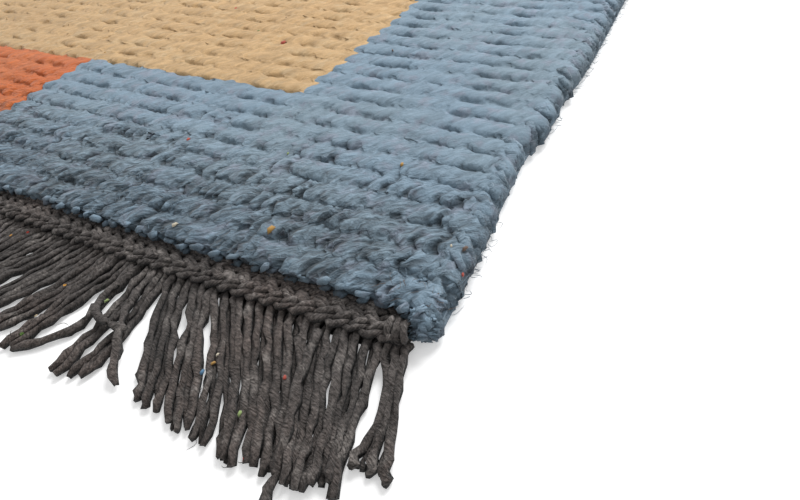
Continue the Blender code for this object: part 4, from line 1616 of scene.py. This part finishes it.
def build_hairs(pile_points, fringe_points, materials):
    """Fuzz along the edges of the pile, on its ends and on the fringes."""
    draw = np.random.default_rng(HAIR_SEED)
    side = RUG_WIDTH / 2
    end = PILE_LENGTH / 2
    x, y, z = np.abs(pile_points).T
    edge = pile_points[(x > side - 0.008) & (z > 0.004)]
    ends = pile_points[(y > end - 0.05) & (z > 0.012) & (x > BLOCK_FROM_SIDE - 0.26)]
    corner = pile_points[(x > side - 0.038) & (y > end - 0.030) & (z > 0.004)]
    loose = fringe_points[fringe_points[:, 2] > 0.0035]
    found = {}
    for name, pool, count, wool in (
        ("fuzz_sides", edge, SIDE_HAIRS, "wool_blue"),
        ("fuzz_ends", ends, END_HAIRS, "wool_blue"),
        ("fuzz_corners", corner, CORNER_HAIRS, "stray_wool"),
        ("fuzz_fringe_near", loose[loose[:, 1] < 0.0], FRINGE_HAIRS["near"], "wool_charcoal"),
        ("fuzz_fringe_far", loose[loose[:, 1] > 0.0], FRINGE_HAIRS["far"], "wool_charcoal"),
    ):
        starts = pool[draw.choice(len(pool), count, replace=False)]
        way = draw.normal(0.0, 0.8, (count, 3))
        if name == "fuzz_sides":
            way[:, 0] += np.sign(starts[:, 0]) * 1.1
        if wool == "wool_charcoal":
            way[:, 1] += np.sign(starts[:, 1]) * 0.6
        way[:, 2] = np.abs(way[:, 2]) * 0.6
        lengths = draw.uniform(3.0, 8.0, count) * MM
        found[name] = yarn_piece(name, [hairs(starts, unit(way), lengths, draw)], materials[wool])
        "wool_blue" if wool == "stray_wool" else wool
    return found


# Room, light and camera

FLOOR_GLOW = 0.36
SKY_STRENGTH = 0.52
WINDOW_PLACE = (0.55, 0.62, 1.40)
WINDOW_AIM = (0.40, -0.55, 0.0)
WINDOW_SIZE = 1.2
WINDOW_POWER = 34.5

# The camera's place is in shares of its height over the pile, its turns in degrees and its lens in mm
CAMERA_OVER_PILE = 0.200
CAMERA_FROM_CORNER = (0.397, -0.691, 1.0)
CAMERA_YAW = -33.4
CAMERA_TILT = 42.5
CAMERA_ROLL = -9.26
CAMERA_LENS = 26.1


def build_floor():
    bm = bmesh.new()
    bmesh.ops.create_grid(bm, x_segments=1, y_segments=1, size=20.0)
    mesh = bpy.data.meshes.new("floor")
    bm.to_mesh(mesh)
    bm.free()
    material, _, _ = new_material(
        "pale_floor", Base_Color=(0.93, 0.93, 0.93, 1.0), Roughness=0.9,
        Emission_Color=(1.0, 1.0, 1.0, 1.0), Emission_Strength=FLOOR_GLOW,
    )
    floor = new_piece("floor", mesh, material)


def soft_light(name, place, aim, size, power):
    light = bpy.data.lights.new(name, "AREA")
    light.shape = "DISK"
    light.size = size
    light.energy = power
    lamp = bpy.data.objects.new(name, light)
    lamp.location = place
    lamp.rotation_euler = (Vector(aim) - Vector(place)).to_track_quat("-Z", "Y").to_euler()
    bpy.context.scene.collection.objects.link(lamp)


def build_light():
    world = bpy.data.worlds.new("studio")
    world.use_nodes = True
    sky = world.node_tree.nodes["Background"]
    sky.inputs["Color"].default_value = (1.0, 1.0, 1.0, 1.0)
    sky.inputs["Strength"].default_value = SKY_STRENGTH
    bpy.context.scene.world = world
    soft_light("window", WINDOW_PLACE, WINDOW_AIM, WINDOW_SIZE, WINDOW_POWER)
    bpy.context.scene.view_settings.view_transform = "Standard"


def build_camera():
    """The photograph's own view, over the near right corner of the pile."""
    corner = Vector((RUG_WIDTH / 2, -PILE_LENGTH / 2, PILE_TOP))
    yaw, tilt, roll = (math.radians(value) for value in (CAMERA_YAW, CAMERA_TILT, CAMERA_ROLL))
    ahead = Vector((math.sin(yaw) * math.cos(tilt), math.cos(yaw) * math.cos(tilt), -math.sin(tilt)))
    level = Vector((math.cos(yaw), -math.sin(yaw), 0.0))
    above = level.cross(ahead)
    right = math.cos(roll) * level + math.sin(roll) * above
    up = math.cos(roll) * above - math.sin(roll) * level
    camera = bpy.data.cameras.new("camera")
    camera.lens = CAMERA_LENS
    camera.clip_start = 0.01
    viewer = bpy.data.objects.new("camera", camera)
    place = Matrix((right, up, -ahead)).transposed().to_4x4()
    place.translation = corner + CAMERA_OVER_PILE * Vector(CAMERA_FROM_CORNER)
    viewer.matrix_world = place
    bpy.context.scene.collection.objects.link(viewer)
    bpy.context.scene.camera = viewer


def main():
    build_camera()
    materials = wool_materials()
    ground = build_ground()
    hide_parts("pile")
    pieces = build_pile(materials)
    for piece in pieces:
        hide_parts("pile")
    for end in ("near", "far"):
        fringe = build_fringe(end, materials["wool_charcoal"])
        band = build_band(end, materials["wool_charcoal"])
        plait = build_braid(end, materials["wool_charcoal"])
        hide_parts("end_fringe_" + end)
        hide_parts("end_fringe_" + end)
        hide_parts("braid_" + end)
        pieces.extend((fringe, band, plait))
    pile_points = mesh_points([piece for piece in pieces if piece.name.startswith("pile_")])
    fringe_points = mesh_points([piece for piece in pieces if piece.name.startswith(("fringe_", "plait_"))])
    materials["stray_wool"] = stray_material()
    strays = build_strays(pile_points, fringe_points, materials["stray_wool"])
    fuzz = build_hairs(pile_points, fringe_points, materials)
    for piece in (strays, fuzz["fuzz_sides"], fuzz["fuzz_ends"], fuzz["fuzz_corners"]):
        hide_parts("pile")
    for end in ("near", "far"):
        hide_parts("end_fringe_" + end)
    pieces.extend((strays, *fuzz.values()))
    for piece in (ground, *pieces):
        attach(piece, "root")
    build_floor()
    build_light()


main()
